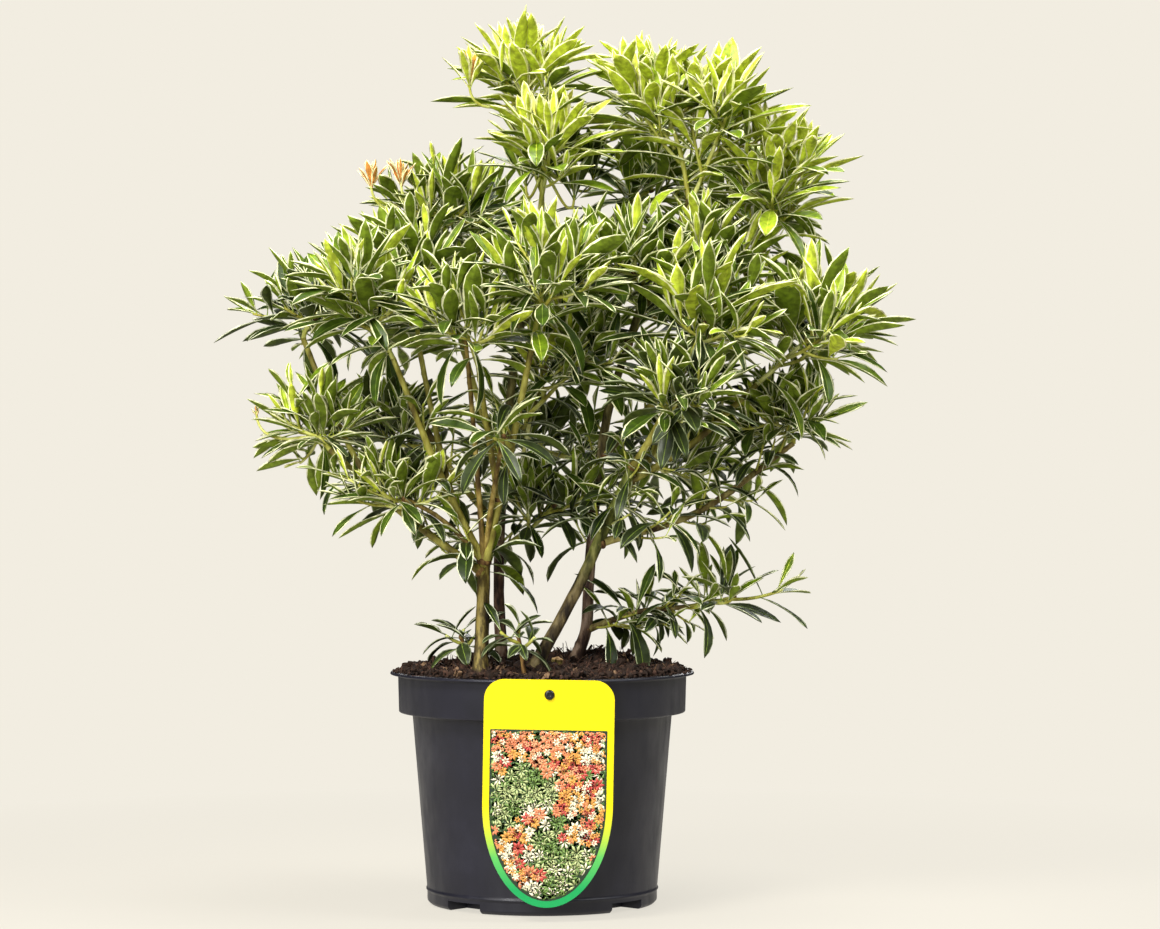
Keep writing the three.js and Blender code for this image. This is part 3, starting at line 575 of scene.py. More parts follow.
class Shape:
    """Points and faces that become one mesh, with a material number for each face."""

    def __init__(self):
        self.points, self.faces, self.slots, self.count = [], [], [], 0

    def add(self, points):
        """Adds points and returns the number of the first."""
        first = self.count
        self.points.append(np.asarray(points, float).reshape(-1, 3))
        self.count += len(self.points[-1])
        return first

    def join(self, faces, slots):
        """Joins points by an array of faces that have one number of corners."""
        self.faces.append(faces)
        self.slots.append(np.broadcast_to(slots, len(faces)))

    def add_rings(self, rings, ends, slot=0, turned=False):
        """Adds a closed skin from ring to ring of points, with a fan to a point at each end.

        turned is for rings that run clockwise as seen from the last one."""
        count, sides = rings.shape[:2]
        here = np.arange(sides)
        there = (here + 1) % sides
        row = sides * np.arange(count - 1)[:, None]
        bands = np.stack([row + here, row + there, row + sides + there, row + sides + here], -1)
        hub, top = np.full(sides, count * sides), (count - 1) * sides
        fans = [np.stack([hub, there, here], 1), np.stack([hub + 1, top + here, top + there], 1)]
        base = self.add(np.concatenate([rings.reshape(-1, 3), ends]))
        for faces in (bands.reshape(-1, 4), *fans):
            self.join(base + (flipped(faces) if turned else faces), slot)

    def build(self, name, materials, sharp=None):
        """The mesh object. Edges sharper than the angle stay crisp."""
        mesh = bpy.data.meshes.new(name)
        points = np.concatenate(self.points) * MM
        mesh.vertices.add(len(points))
        mesh.vertices.foreach_set("co", points.astype(np.float32).ravel())
        corners = np.concatenate([faces.ravel() for faces in self.faces])
        sizes = np.concatenate([np.full(len(faces), faces.shape[1]) for faces in self.faces])
        mesh.loops.add(len(corners))
        mesh.loops.foreach_set("vertex_index", corners.astype(np.int32))
        mesh.polygons.add(len(sizes))
        starts = np.concatenate([[0], np.cumsum(sizes)[:-1]])
        mesh.polygons.foreach_set("loop_start", starts.astype(np.int32))
        mesh.polygons.foreach_set("material_index", np.concatenate(self.slots).astype(np.int32))
        mesh.polygons.foreach_set("use_smooth", np.ones(len(sizes), bool))
        for material in materials:
            mesh.materials.append(material)
        mesh.update(calc_edges=True)
        mesh.validate()
        if sharp:
            mesh.set_sharp_from_angle(angle=math.radians(sharp))
        piece = bpy.data.objects.new(name, mesh)
        bpy.context.scene.collection.objects.link(piece)
        return piece


def dress(piece, slot, *nodes):
    """Hangs a piece on the root body and hides the solids that it stands for. Its slot is not used."""
    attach(piece, "root")
    if nodes:
        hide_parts(*nodes)
    return piece


def settle(piece):
    """Moves a piece's own turn and place into its mesh."""
    bpy.context.view_layer.update()
    piece.data.transform(piece.matrix_world)
    piece.matrix_world.identity()
    return piece


def rounded(profile, radius, steps=4):
    """A profile whose corners are eased into short curves."""
    profile = [np.asarray(corner, float) for corner in profile]
    eased = [profile[0][None]]
    for before, corner, after in zip(profile, profile[1:], profile[2:]):
        back, ahead = before - corner, after - corner
        cut = min(radius, np.linalg.norm(back) / 2, np.linalg.norm(ahead) / 2)
        eased.append(bezier(corner + unit(back) * cut, corner, corner + unit(ahead) * cut, steps))
    return np.concatenate([*eased, profile[-1][None]])


def lathe(profile, sides):
    """A closed profile of radius and height turned about Z. Its ends are on the axis."""
    turn = turns(sides)
    rings = np.array([
        np.stack([radius * np.cos(turn), radius * np.sin(turn), np.full(sides, height)], axis=-1)
        for radius, height in profile[1:-1]
    ])
    shape = Shape()
    shape.add_rings(rings, [[0, 0, profile[0][1]], [0, 0, profile[-1][1]]])
    return shape


def tapered(path, thick, thin):
    """A radius that goes evenly from one end of a path to the other."""
    return lambda along: mix(thick, thin, along / path.length)


def tube(shape, path, radius_at, grade, slot=0, relief=None):
    """A round limb along a path. radius_at takes a length, relief a turn and a length."""
    sides, step = GRADES[grade]
    shares = np.linspace(0, 1, max(3, math.ceil(path.length / step) + 1))
    centres, headings = path.at(shares), path.heading(shares)
    normal, _ = square_to(headings[0])
    normals = []
    for heading in headings:
        normal = unit(normal - heading * normal.dot(heading))
        normals.append(normal)
    normals = np.array(normals)
    others = np.cross(headings, normals)
    turn = turns(sides)
    along = (shares * path.length)[:, None]
    radius = radius_at(along) + (relief(turn[None, :], along) if relief else 0 * turn)
    around = normals[:, None] * np.cos(turn)[:, None] + others[:, None] * np.sin(turn)[:, None]
    rings = centres[:, None] + radius[..., None] * around
    start = centres[0] - headings[0] * radius[0].mean() / 2
    end = centres[-1] + headings[-1] * radius[-1].mean() / 2
    shape.add_rings(rings, [start, end], slot)


def twig_tube(shape, path, grade, slot=0, relief=None):
    tube(shape, path, tapered(path, *TAPERS[grade]), grade, slot, relief)


def scatter(shape, form, centres, sizes, rng, jitter, slots):
    """Copies of a small convex form, each turned, sized and roughened on its own."""
    corners, faces = form
    count = len(centres)
    q = unit(rng.normal(size=(count, 4)))
    w, x, y, z = q.T
    turned = np.stack([
        1 - 2 * (y * y + z * z), 2 * (x * y - z * w), 2 * (x * z + y * w),
        2 * (x * y + z * w), 1 - 2 * (x * x + z * z), 2 * (y * z - x * w),
        2 * (x * z - y * w), 2 * (y * z + x * w), 1 - 2 * (x * x + y * y),
    ], axis=-1).reshape(count, 3, 3)
    rough = corners[None] * (1 + jitter * rng.uniform(-1, 1, (count, len(corners), 1)))
    points = centres[:, None] + np.einsum("nij,nkj->nki", turned, rough * sizes[:, None])
    shape.join(shape.add(points) + repeated(faces, count, len(corners)), np.repeat(slots, len(faces)))


def icosahedron():
    golden = (1 + 5**0.5) / 2
    card = np.array([(-1, golden, 0), (1, golden, 0), (-1, -golden, 0), (1, -golden, 0)])
    corners = np.concatenate([np.roll(card, axis, axis=1) for axis in range(3)])
    faces = np.array([
        (0, 11, 5), (0, 5, 1), (0, 1, 7), (0, 7, 10), (0, 10, 11), (1, 5, 9), (5, 11, 4), (11, 10, 2),
        (10, 7, 6), (7, 1, 8), (3, 9, 4), (3, 4, 2), (3, 2, 6), (3, 6, 8), (3, 8, 9), (4, 9, 5), (2, 4, 11),
        (6, 2, 10), (8, 6, 7), (9, 8, 1),
    ])
    return unit(corners), faces


def splinter():
    """A flake of bark: a box that is pinched at one end."""
    corners = np.array([(x * (1 - 0.3 * (z > 0)), y * (1 - 0.4 * (z > 0)), z)
                        for z in (-1, 1) for x, y in ((-1, -1), (1, -1), (1, 1), (-1, 1))], float)
    faces = np.array([(3, 2, 1, 0), (4, 5, 6, 7), (0, 1, 5, 4), (1, 2, 6, 5), (2, 3, 7, 6), (3, 0, 4, 7)])
    return corners, faces


# ---------------------------------------------------------------- materials


def channels(code):
    return [int(code[i:i + 2], 16) for i in (0, 2, 4)]


def toned(code, share):
    """A colour's code with its three channels made darker or lighter."""
    return "".join(f"{min(255, round(share * channel)):02x}" for channel in channels(code))


def colour(code):
    """A colour of six hex digits as the linear values that Blender takes."""
    levels = [channel / 255 for channel in channels(code)]
    return (*(v / 12.92 if v <= 0.04045 else ((v + 0.055) / 1.055) ** 2.4 for v in levels), 1)


class Material:
    """A Principled material, with helpers for the textures that feed it."""

    def __init__(self, name, base, roughness, specular=0.5):
        self.material = bpy.data.materials.new(name)
        self.material.use_nodes = True
        self.tree = self.material.node_tree
        self.shader = next(node for node in self.tree.nodes if node.type == "BSDF_PRINCIPLED")
        self.shader.inputs["Base Color"].default_value = colour(base)
        self.shader.inputs["Roughness"].default_value = roughness
        self.shader.inputs["Specular IOR Level"].default_value = specular

    def node(self, kind, **values):
        node = self.tree.nodes.new(kind)
        for name, value in values.items():
            if hasattr(node, name):
                setattr(node, name, value)
            else:
                node.inputs[name.replace("_", " ").title()].default_value = value
        return node

    def link(self, source, target):
        self.tree.links.new(source, target)

    def place(self, stretch=(1, 1, 1)):
        """Object coordinates in metres, stretched."""
        coordinates = self.node("ShaderNodeTexCoord")
        mapping = self.node("ShaderNodeMapping", scale=stretch)
        self.link(coordinates.outputs["Object"], mapping.inputs["Vector"])
        return mapping.outputs["Vector"]

    def height(self):
        heights = self.node("ShaderNodeSeparateXYZ")
        self.link(self.place(), heights.inputs["Vector"])
        return heights.outputs["Z"]

    def cloud(self, size, detail=3.0, stretch=(1, 1, 1), roughness=0.55):
        """Noise whose patches are about so many millimetres wide."""
        texture = self.node("ShaderNodeTexNoise", detail=detail, roughness=roughness, scale=1 / (size * MM))
        self.link(self.place(stretch), texture.inputs["Vector"])
        return texture.outputs["Fac"]

    def ramp(self, factor, *stops):
        """Colours by a factor: each stop is a position and a colour."""
        ramp = self.node("ShaderNodeValToRGB")
        elements = ramp.color_ramp.elements
        while len(elements) < len(stops):
            elements.new(0.5)
        for element, (position, code) in zip(elements, stops):
            element.position = position
            element.color = colour(code)
        self.link(factor, ramp.inputs["Fac"])
        return ramp.outputs["Color"]

    def spread(self, factor, low, high, start=0.3, end=0.7):
        """A number that goes from low to high as the factor goes from start to end."""
        ranged = self.node("ShaderNodeMapRange", from_min=start, from_max=end, to_min=low, to_max=high)
        self.link(factor, ranged.inputs["Value"])
        return ranged.outputs["Result"]

    def blend(self, share, first, second):
        mixer = self.node("ShaderNodeMix", data_type="RGBA")
        self.link(share, mixer.inputs["Factor"])
        self.link(first, mixer.inputs[6])
        self.link(second, mixer.inputs[7])
        return mixer.outputs[2]

    def tint(self, output):
        self.link(output, self.shader.inputs["Base Color"])

    def dull(self, output):
        self.link(output, self.shader.inputs["Roughness"])

    def bump(self, height, depth, strength=1.0):
        """Relief of so many millimetres."""
        bump = self.node("ShaderNodeBump", distance=depth * MM, strength=strength)
        self.link(height, bump.inputs["Height"])
        self.link(bump.outputs["Normal"], self.shader.inputs["Normal"])


def leaf_material(name, code, roughness, specular):
    """A leaf's own colour in soft darker and lighter patches, under a fine leathery grain."""
    made = Material(name, code, roughness, specular)
    stops = [(position, toned(code, share)) for position, share in LEAF_TONES]
    made.tint(made.ramp(made.cloud(4.5, detail=4.0), *stops))
    made.bump(made.cloud(1.6, detail=1.0), 0.12, 0.5)
    return made.material


def bark_material(name, colours, patch, roughness, above=None, young=None):
    """Bark in streaks along the stem, with paler scuffs and fine cracks."""
    made = Material(name, colours.split()[1], roughness, 0.3)
    streaks = made.cloud(patch, detail=5.0, stretch=(1, 1, 0.3))
    skin = made.ramp(streaks, *zip(BARK_STOPS, colours.split()))
    if above:
        share = made.spread(made.height(), 0, 1, above[0] * MM, above[1] * MM)
        skin = made.blend(share, skin, made.ramp(streaks, *zip(BARK_STOPS, young.split())))
    made.tint(skin)
    made.dull(made.spread(streaks, roughness + 0.1, roughness - 0.15))
    made.bump(made.cloud(1.1, detail=6.0, stretch=(1, 1, 0.4)), 0.5, 0.7)
    return made.material


def pot_material():
    """Black moulded plastic: a satin skin with a fine grain, dust and a few long scuffs."""
    made = Material("pot_plastic", "1c1c24", 0.42, 0.4)
    dust = made.cloud(38, detail=6.0)
    made.tint(made.ramp(dust, (0.35, "11111b"), (0.6, "171722"), (0.8, "20202c")))
    made.dull(made.spread(made.cloud(9, detail=4.0, stretch=(1, 1, 0.35)), 0.36, 0.54))
    made.bump(made.cloud(0.9, detail=2.0), 0.12, 0.35)
    return made.material


def soil_material():
    """Damp peat: near black with brown fibres."""
    made = Material("peat", "33241a", 0.95, 0.2)
    fibres = made.cloud(4, detail=6.0, roughness=0.7)
    made.tint(made.ramp(fibres, (0.3, "0f0a08"), (0.5, "231812"), (0.75, "483224")))
    made.bump(made.cloud(1.6, detail=6.0, roughness=0.7), 1.2)
    return made.material


def flake_material(name, dark, light):
    made = Material(name, dark, 0.85, 0.25)
    made.tint(made.ramp(made.cloud(2.4, detail=4.0), (0.35, dark), (0.7, light)))
    made.bump(made.cloud(0.9, detail=3.0), 0.4, 0.6)
    return made.material


def print_material(name, code, roughness=0.34, specular=0.4, ramp=None):
    """Printed film: clean colour under a satin lacquer with a faint ripple. A ramp's colours run
    down the card instead."""
    made = Material(name, code, roughness, specular)
    if ramp:
        top, low = ((LABEL["hole_height"] - LABEL[key]) * MM for key in ("green_from", "green_at"))
        made.tint(made.ramp(made.spread(made.height(), 0, 1, top, low), *ramp))
    made.bump(made.cloud(14, detail=2.0), 0.1, 0.3)
    return made.material


def make_materials():
    library = {
        "pot": pot_material(),
        "soil": soil_material(),
        "crumb": flake_material("peat_crumb", "140d0a", "3a281c"),
        "flake_red": flake_material("bark_flake_red", "2a1b15", "563c2e"),
        "flake_tan": flake_material("bark_flake_tan", "4e3826", "94775a"),
        "border": print_material("label_border", "dccb00", 0.42, 0.25, GROUND),
        "picture": print_material("label_picture", "20301f"),
        "pin": print_material("pin_plastic", "121214"),
    }
    for name, row in BARKS.items():
        library[name] = bark_material(name, *row)
    for codes, roughness, specular in GLOSS:
        for name, code in codes.items():
            library[name] = leaf_material("leaf_" + name, code, roughness, specular)
    return library


# ---------------------------------------------------------------- the pot, soil and label


def pot_profile():
    band_bottom = POT_HEIGHT - POT["band_height"]
    shoulder = band_bottom - 1
    foot, ridge, wall = POT["foot_radius"], POT["foot_ridge_height"], POT["wall"]
    lip_bottom = POT_HEIGHT - POT["lip_thickness"]
    return [
        (0, 0),
        (foot - POT["foot_chamfer"], 0),
        (foot, POT["foot_chamfer"]),
        (foot, ridge - 1),
        (foot + POT["foot_ridge"], ridge),
        (foot + POT["draft"], ridge + 1.5),
        (POT["shoulder_radius"], shoulder),
        (POT["band_bottom_radius"], band_bottom),
        (POT["band_top_radius"], lip_bottom - 0.5),
        (LIP_RADIUS, lip_bottom),
        (LIP_RADIUS - 0.4, POT_HEIGHT),
        (POT["band_top_radius"] - wall, POT_HEIGHT),
        (POT["band_bottom_radius"] - wall, band_bottom + wall),
        (POT["shoulder_radius"] - wall, shoulder + wall),
        (foot + POT["draft"] - wall, POT["floor"]),
        (0, POT["floor"]),
    ]


def cut_notches(pot):
    """Cuts the drainage notches out of the foot."""
    cutters = []
    radius = POT["foot_radius"] * MM
    for i in range(NOTCH["count"]):
        turn = math.radians(NOTCH["first_turn"] + i * 360 / NOTCH["count"])
        bpy.ops.mesh.primitive_cube_add(size=1)
        cutter = bpy.context.object
        cutter.scale = [NOTCH["width"] * MM, 2 * NOTCH["depth"] * MM, 2 * NOTCH["height"] * MM]
        cutter.rotation_euler.z = turn
        cutter.location = [radius * math.sin(turn), -radius * math.cos(turn), 0]
        cut = pot.modifiers.new("notch", "BOOLEAN")
        cut.operation, cut.solver, cut.object = "DIFFERENCE", "EXACT", cutter
        cutters.append(cutter)
    bpy.context.view_layer.update()
    graph = bpy.context.evaluated_depsgraph_get()
    whole = pot.data
    pot.data = bpy.data.meshes.new_from_object(pot.evaluated_get(graph))
    pot.modifiers.clear()
    bpy.data.meshes.remove(whole)
    for cutter in cutters:
        bpy.data.objects.remove(cutter)
    pot.data.set_sharp_from_angle(angle=math.radians(35))


def make_pot(library):
    profile = rounded(pot_profile(), POT["rounding"])
    pot = lathe(profile, POT["sides"]).build("nursery_pot", [library["pot"]])
    cut_notches(pot)
    dress(pot, "pot", "pot")


def soil_top(x, y):
    """The uneven top of the soil, smoother along its edge."""
    lumps = sum(height * noise(x / width, y / width, seed) for height, width, seed in CLODS)
    from_edge = np.clip((SOIL["radius"] - np.hypot(x, y)) / SOIL["smooth_edge"], 0, 1)
    return ground_height(x, y) + lumps * mix(0.25, 1, from_edge)


def make_soil(library):
    """The peat's clumpy top, closed by a wall and a bottom inside the pot."""
    turn = turns(SOIL["sides"])
    radii = np.linspace(0, SOIL["radius"], SOIL["rings"] + 1)[1:, None]
    x, y = radii * np.cos(turn), radii * np.sin(turn)
    top = np.stack([x, y, soil_top(x, y)], axis=-1)
    bottom = SOIL["edge_height"] - SOIL["depth"]
    wall = np.stack([x[-1], y[-1], np.full(SOIL["sides"], bottom)], axis=-1)
    shape = Shape()
    centres = [[0, 0, ground_height(0, 0)], [0, 0, bottom]]
    shape.add_rings(np.concatenate([top, wall[None]]), centres, turned=True)
    dress(shape.build("peat_bed", [library["soil"]]), "soil", "soil")


def make_crumbs(library, rng):
    """Crumbs of peat on the soil, heaped along the lip."""
    radius = np.concatenate([
        SOIL["radius"] * np.sqrt(rng.uniform(0, 1, CRUMBS["over"])),
        rng.uniform(*CRUMBS["rim_span"], CRUMBS["rim"]),
        rng.uniform(*CRUMBS["lip_span"], CRUMBS["lip"]),
    ])
    count, on_lip = len(radius), CRUMBS["lip"]
    turn = rng.uniform(0, 2 * math.pi, count)
    strayed = rng.normal(0, 0.5, on_lip)
    turn[-on_lip:] = strayed + np.where(rng.uniform(size=on_lip) < 0.6, *CRUMBS["heap_turns"])
    x, y = radius * np.cos(turn), radius * np.sin(turn)
    outside = radius > SOIL["radius"]
    size = rng.gamma(2.2, 0.36, count) + CRUMBS["least"]
    size = np.minimum(size, np.where(outside, CRUMBS["most_on_lip"], CRUMBS["most"]))
    height = np.where(outside, POT_HEIGHT, soil_top(x, y))
    piled = (radius > CRUMBS["rim_span"][0]) & (radius < SOIL["radius"])
    height = height + 0.5 * size + np.where(piled, rng.uniform(0, CRUMBS["pile"], count), 0)
    sizes = size[:, None] * rng.uniform(0.6, 1.3, (count, 3))
    slots = (rng.uniform(size=count) < CRUMBS["red_share"]).astype(int)
    shape = Shape()
    scatter(shape, icosahedron(), np.stack([x, y, height], 1), sizes, rng, 0.25, slots)
    dress(shape.build("peat_crumbs", [library["crumb"], library["flake_red"]], sharp=40), "soil")


def make_chips(library, rng):
    """Flakes and fibres of bark on the soil."""
    flakes, fibres = CHIPS["flakes"], CHIPS["fibres"]
    radius = CHIPS["radius"] * np.sqrt(rng.uniform(0, 1, flakes + fibres))
    turn = rng.uniform(0, 2 * math.pi, flakes + fibres)
    x, y = radius * np.cos(turn), radius * np.sin(turn)
    fine = np.full(fibres, CHIPS["fibre_width"])
    flake_lengths = rng.uniform(*CHIPS["flake_length"], flakes)
    long_side = np.concatenate([flake_lengths, rng.uniform(*CHIPS["fibre_length"], fibres)])
    wide = np.concatenate([rng.uniform(*CHIPS["flake_width"], flakes), fine])
    thin = np.concatenate([rng.uniform(*CHIPS["flake_thickness"], flakes), fine])
    slots = rng.choice(3, flakes + fibres, p=CHIPS["shares"])
    centres = np.stack([x, y, soil_top(x, y) + CHIPS["lift"]], 1)
    shape = Shape()
    scatter(shape, splinter(), centres, np.stack([wide, thin, long_side], 1), rng, 0.2, slots)
    materials = [library[key] for key in ("flake_red", "crumb", "flake_tan")]
    dress(shape.build("bark_flakes", materials, sharp=30), "soil")


def card_outline(inset, top_drop, corner, steps=14):
    """The label's outline, or a line at an inset inside it, as points across and up from its hole."""
    half = LABEL["width"] / 2 - inset
    top = LABEL["hole_below_top"] - top_drop
    waist = LABEL["hole_below_top"] - LABEL["straight"]
    turn = np.linspace(math.pi, 2 * math.pi, 4 * steps)
    tip = np.stack([half * np.cos(turn), waist + (LABEL["tip_length"] - inset) * np.sin(turn)], 1)
    turn = np.linspace(0, math.pi / 2, steps)
    right = np.stack([half - corner + corner * np.cos(turn), top - corner + corner * np.sin(turn)], 1)
    left = right[::-1] * [-1, 1]
    return np.concatenate([tip, right, left])


def slab(shape, outline, back, front, slot):
    """A flat plate from an outline, between two depths in front of the card's back."""
    count = len(outline)
    low = np.column_stack([outline[:, 0], np.full(count, -back), outline[:, 1]])
    high = np.column_stack([outline[:, 0], np.full(count, -front), outline[:, 1]])
    here = np.arange(count)
    there = (here + 1) % count
    base = shape.add(np.concatenate([low, high]))
    shape.join(base + np.stack([here, there, there + count, here + count], 1), slot)
    shape.join(base + here[None, ::-1], slot)
    shape.join(base + here[None] + count, slot)


def on_panel(points):
    """Whether every point lies inside the printed panel."""
    inset = LABEL["border"] + LABEL["clear"]
    half = LABEL["width"] / 2 - inset
    top = LABEL["hole_below_top"] - LABEL["header"] - LABEL["clear"]
    below = np.maximum(LABEL["hole_below_top"] - LABEL["straight"] - points[:, 1], 0)
    round_tip = (points[:, 0] / half) ** 2 + (below / (LABEL["tip_length"] - inset)) ** 2
    return bool(np.all((round_tip < 1) & (points[:, 1] < top)))


def petals(shape, centre, length, width, count, first_turn, layer, slot):
    """A flat sprig: pointed leaves or petals round a point on the card."""
    front = LABEL["thickness"] + LABEL["print"] + LABEL["layer"] * layer
    for i in range(count):
        turn = math.radians(first_turn + 360 * i / count)
        along = np.array([math.cos(turn), math.sin(turn)])
        across = np.array([-along[1], along[0]]) * width / 2
        root, middle, tip = (centre + share * length * along for share in (0.08, 0.55, 1))
        outline = np.array([root, middle - across, tip, middle + across])
        if on_panel(outline):
            slab(shape, outline, front - LABEL["ink"], front + LABEL["ink"], slot)


def print_layer(shape, layer, inks, pitch, length, width, count, thinning):
    """One layer of the label's print: sprigs strewn over the panel, thicker or thinner in drifts."""
    rng = np.random.default_rng(40 + layer)
    half = LABEL["width"] / 2 - LABEL["border"]
    top = LABEL["hole_below_top"] - LABEL["header"]
    foot = LABEL["hole_below_top"] - LABEL["straight"] - LABEL["tip_length"] + LABEL["border"]
    for row, y in enumerate(np.arange(top, foot, -pitch)):
        for x in np.arange(-half + pitch / 2 * (row % 2), half, pitch):
            centre = np.array([x, y]) + rng.uniform(-DRIFT["stray"], DRIFT["stray"], 2) * pitch
            across, up = centre[:1] / DRIFT["width"] + 9, centre[1:] / DRIFT["height"] + 20
            drift = noise(across, up, 8)[0]
            height = (centre[1] - foot) / (top - foot)
            shade = 0.5 + 0.5 * drift + 0.8 * rng.uniform(-0.5, 0.5)
            ink = inks[int(np.clip(len(inks) * shade, 0, len(inks) - 1))]
            dense = thinning * (height - DRIFT["middle"] + DRIFT["share"] * drift)
            if thinning and dense + 0.25 * rng.uniform(-1, 1) < 0:
                continue
            size = rng.uniform(0.7, 1.1)
            petals(shape, centre, length * size, width * size, count, 360 * rng.uniform(), layer, ink)


def on_label(piece):
    """Hangs a piece that was drawn round the hole on the label's place and tilt."""
    piece.rotation_euler.y = math.radians(LABEL["tilt"])
    piece.location = [LABEL["x"] * MM, -(LIP_RADIUS + CLEAR) * MM, LABEL["hole_height"] * MM]
    return settle(piece)


def make_label(library):
    front = LABEL["thickness"]
    card = Shape()
    slab(card, card_outline(0, 0, LABEL["corner"]), 0, front, 0)
    dress(on_label(card.build("label_card", [library["border"]], sharp=30)), "label_card", "plant_label")

    panel = Shape()
    outline = card_outline(LABEL["border"], LABEL["header"], LABEL["panel_corner"])
    slab(panel, outline, front - 0.1, front + LABEL["print"], 0)
    dress(on_label(panel.build("label_panel", [library["picture"]], sharp=30)), "label_card")

    inks = [print_material("label_ink_" + name, code) for name, code in INKS.items()]
    motifs = Shape()
    for layer, (names, *sizes) in enumerate(SPRAYS):
        print_layer(motifs, layer, [list(INKS).index(name) for name in names.split()], *sizes)
    dress(on_label(motifs.build("label_motifs", inks)), "label_card")


def make_pin(library):
    """The push-pin that holds the label: a domed head, dimpled in the middle, on a shank."""
    face = LIP_RADIUS + 2 * CLEAR + LABEL["thickness"]
    shank = face - math.sqrt(POT["band_top_radius"] ** 2 - LABEL["x"] ** 2)
    head, thick = PIN["head_radius"], PIN["head_thickness"]
    profile = [(0, 0), (PIN["shank_radius"], 0), (PIN["shank_radius"], shank), (head, shank),
               (head, shank + 0.5), (head - 0.7, shank + thick - 0.2),
               (PIN["dimple_radius"], shank + thick - 0.1), (1, shank + thick - 0.45),
               (0, shank + thick - 0.45)]
    pin = lathe(rounded(profile, PIN["rounding"]), PIN["sides"]).build("push_pin", [library["pin"]], sharp=40)
    pin.rotation_euler.x = math.pi / 2
    pin.location = [LABEL["x"] * MM, -(face - shank) * MM, LABEL["hole_height"] * MM]
    dress(settle(pin), "label_pin", "label_pin")


# ---------------------------------------------------------------- stems and boughs


def rooted(plant, paths):
    """Where a limb or mass starts, on its limb or from its foot in the soil, and its heading there."""
    if isinstance(plant.on, str):
        return paths[plant.on].at(plant.at), paths[plant.on].heading(plant.at)
    return np.array([*plant.on, ground_height(*plant.on) - FOOT_DEPTH]), UP


def bark_relief(kind, length, seed):
    """The relief of a limb's bark: furrows that run along it, and the low crescents where leaves
    have fallen, which turn round it by the golden angle."""
    depth, first, spacing, height = RELIEF[kind]
    marks = np.arange(first, length - SCAR["clear_of_tip"], spacing)

    def relief(turn, along):
        x, y = 2.2 * np.cos(turn) + 20, 2.2 * np.sin(turn) + 20
        furrows = noise(x + along / 26, y - along / 31, seed)
        total = depth * (furrows + 0.6 * noise(2 * x + along / 9, 2 * y, seed + 1))
        for i, mark in enumerate(marks):
            apart = (turn - math.radians(GOLDEN_ANGLE) * i + math.pi) % (2 * math.pi) - math.pi
            far = ((along - mark) / SCAR["length"]) ** 2 + (apart / SCAR["turn"]) ** 2
            total = total + height * np.exp(-far)
        return total
    return relief


def swelling(shape, path, share, radius, slot):
    """A knot where a season's growth ended."""
    centre, heading = path.at(share), path.heading(share)
    half, roundness = KNOT["half_length"], KNOT["roundness"]
    knot = Path([centre - heading * half, centre, centre + heading * half])

    def radius_at(along):
        return radius * np.sqrt(np.clip(1 - ((along - half) / roundness) ** 2, 0, 1))

    tube(shape, knot, radius_at, "knot", slot)


def make_limbs(library):
    """The stems and boughs in their bark. Returns the paths that the masses grow from."""
    paths = {}
    for number, limb in enumerate(LIMBS):
        kind = limb.name.split("_")[0]
        start, _ = rooted(limb, paths)
        tip = np.array(limb.tip, float)
        bends = limb.through or [(start + tip) / 2 + UP * limb.lift]
        path = through_points([start, *bends, tip])
        paths[limb.name] = path
        even = tapered(path, *limb.radii)
        flare, fade = FLARE[kind]

        def radius_at(along):
            return BARK_SHARE[kind] * even(along) * (1 + flare * np.exp(-along / fade))

        shape = Shape()
        tube(shape, path, radius_at, kind, 0, bark_relief(kind, path.length, 20 + number))
        if kind == "bough":
            swelling(shape, path, 0.02, limb.radii[0] * KNOT["over_bough"], 1)
        slot = SLOTS.get(limb.name, "bark_green")
        materials = [library[SKINS.get(limb.name, slot)], library["node_brown"]]
        dress(shape.build(limb.name + "_bark", materials), slot, limb.name)
    return paths


def make_risers(library, paths):
    """The slender stems that rise from the front stem's fork into the foliage."""
    shape = Shape()
    for number, (name, share) in enumerate(RISERS):
        heart = np.array(next(mass.heart for mass in MASSES if mass.name == name), float)
        start = paths[RISER["limb"]].at(share)
        path = arc(start, mix(start, heart, 0.4) + UP * RISER["lift"], heart)
        twig_tube(shape, path, "riser", 0, bark_relief("riser", path.length, 70 + number))
    dress(shape.build("risers_bark", [library["bark_riser"]]), "bark_olive")


def make_stub(library):
    """A stem that was cut off just above the soil."""
    foot = np.array([STUB["x"], STUB["y"], ground_height(STUB["x"], STUB["y"]) - STUB["depth"]])
    path = Path([foot, foot + [*STUB["lean"], STUB["height"]]])
    flare, fade = STUB["flare"]

    def radius_at(along):
        return STUB["radius"] * (1 + flare * np.exp(-along / fade))

    shape = Shape()
    tube(shape, path, radius_at, "stub", 0, bark_relief("stub", path.length, 61))
    shape.slots[-1] = np.full(len(shape.slots[-1]), 1)  # its top end shows the wood
    dress(shape.build("cut_stub", [library["bark_olive"], library["cut_wood"]], sharp=40), "bark_brown")


# ---------------------------------------------------------------- leaves

ROWS = np.array([0, 0.09, 0.2, 0.34, 0.48, 0.61, 0.75, 0.89])
MARGIN, BLADE, RIB, UNDER = range(4)  # what a face shows
# The strips along a leaf, between two of the corners in a row: five over it and five under it.
OVER = [(0, 1, MARGIN), (1, 2, BLADE), (2, 3, RIB), (3, 4, BLADE), (4, 5, MARGIN)]
BENEATH = [(0, 6, MARGIN), (6, 7, UNDER), (7, 8, UNDER), (8, 9, UNDER), (9, 5, MARGIN)]
OUTLINE = [0, 1, 2, 3, 4, 5, 9, 8, 7, 6]


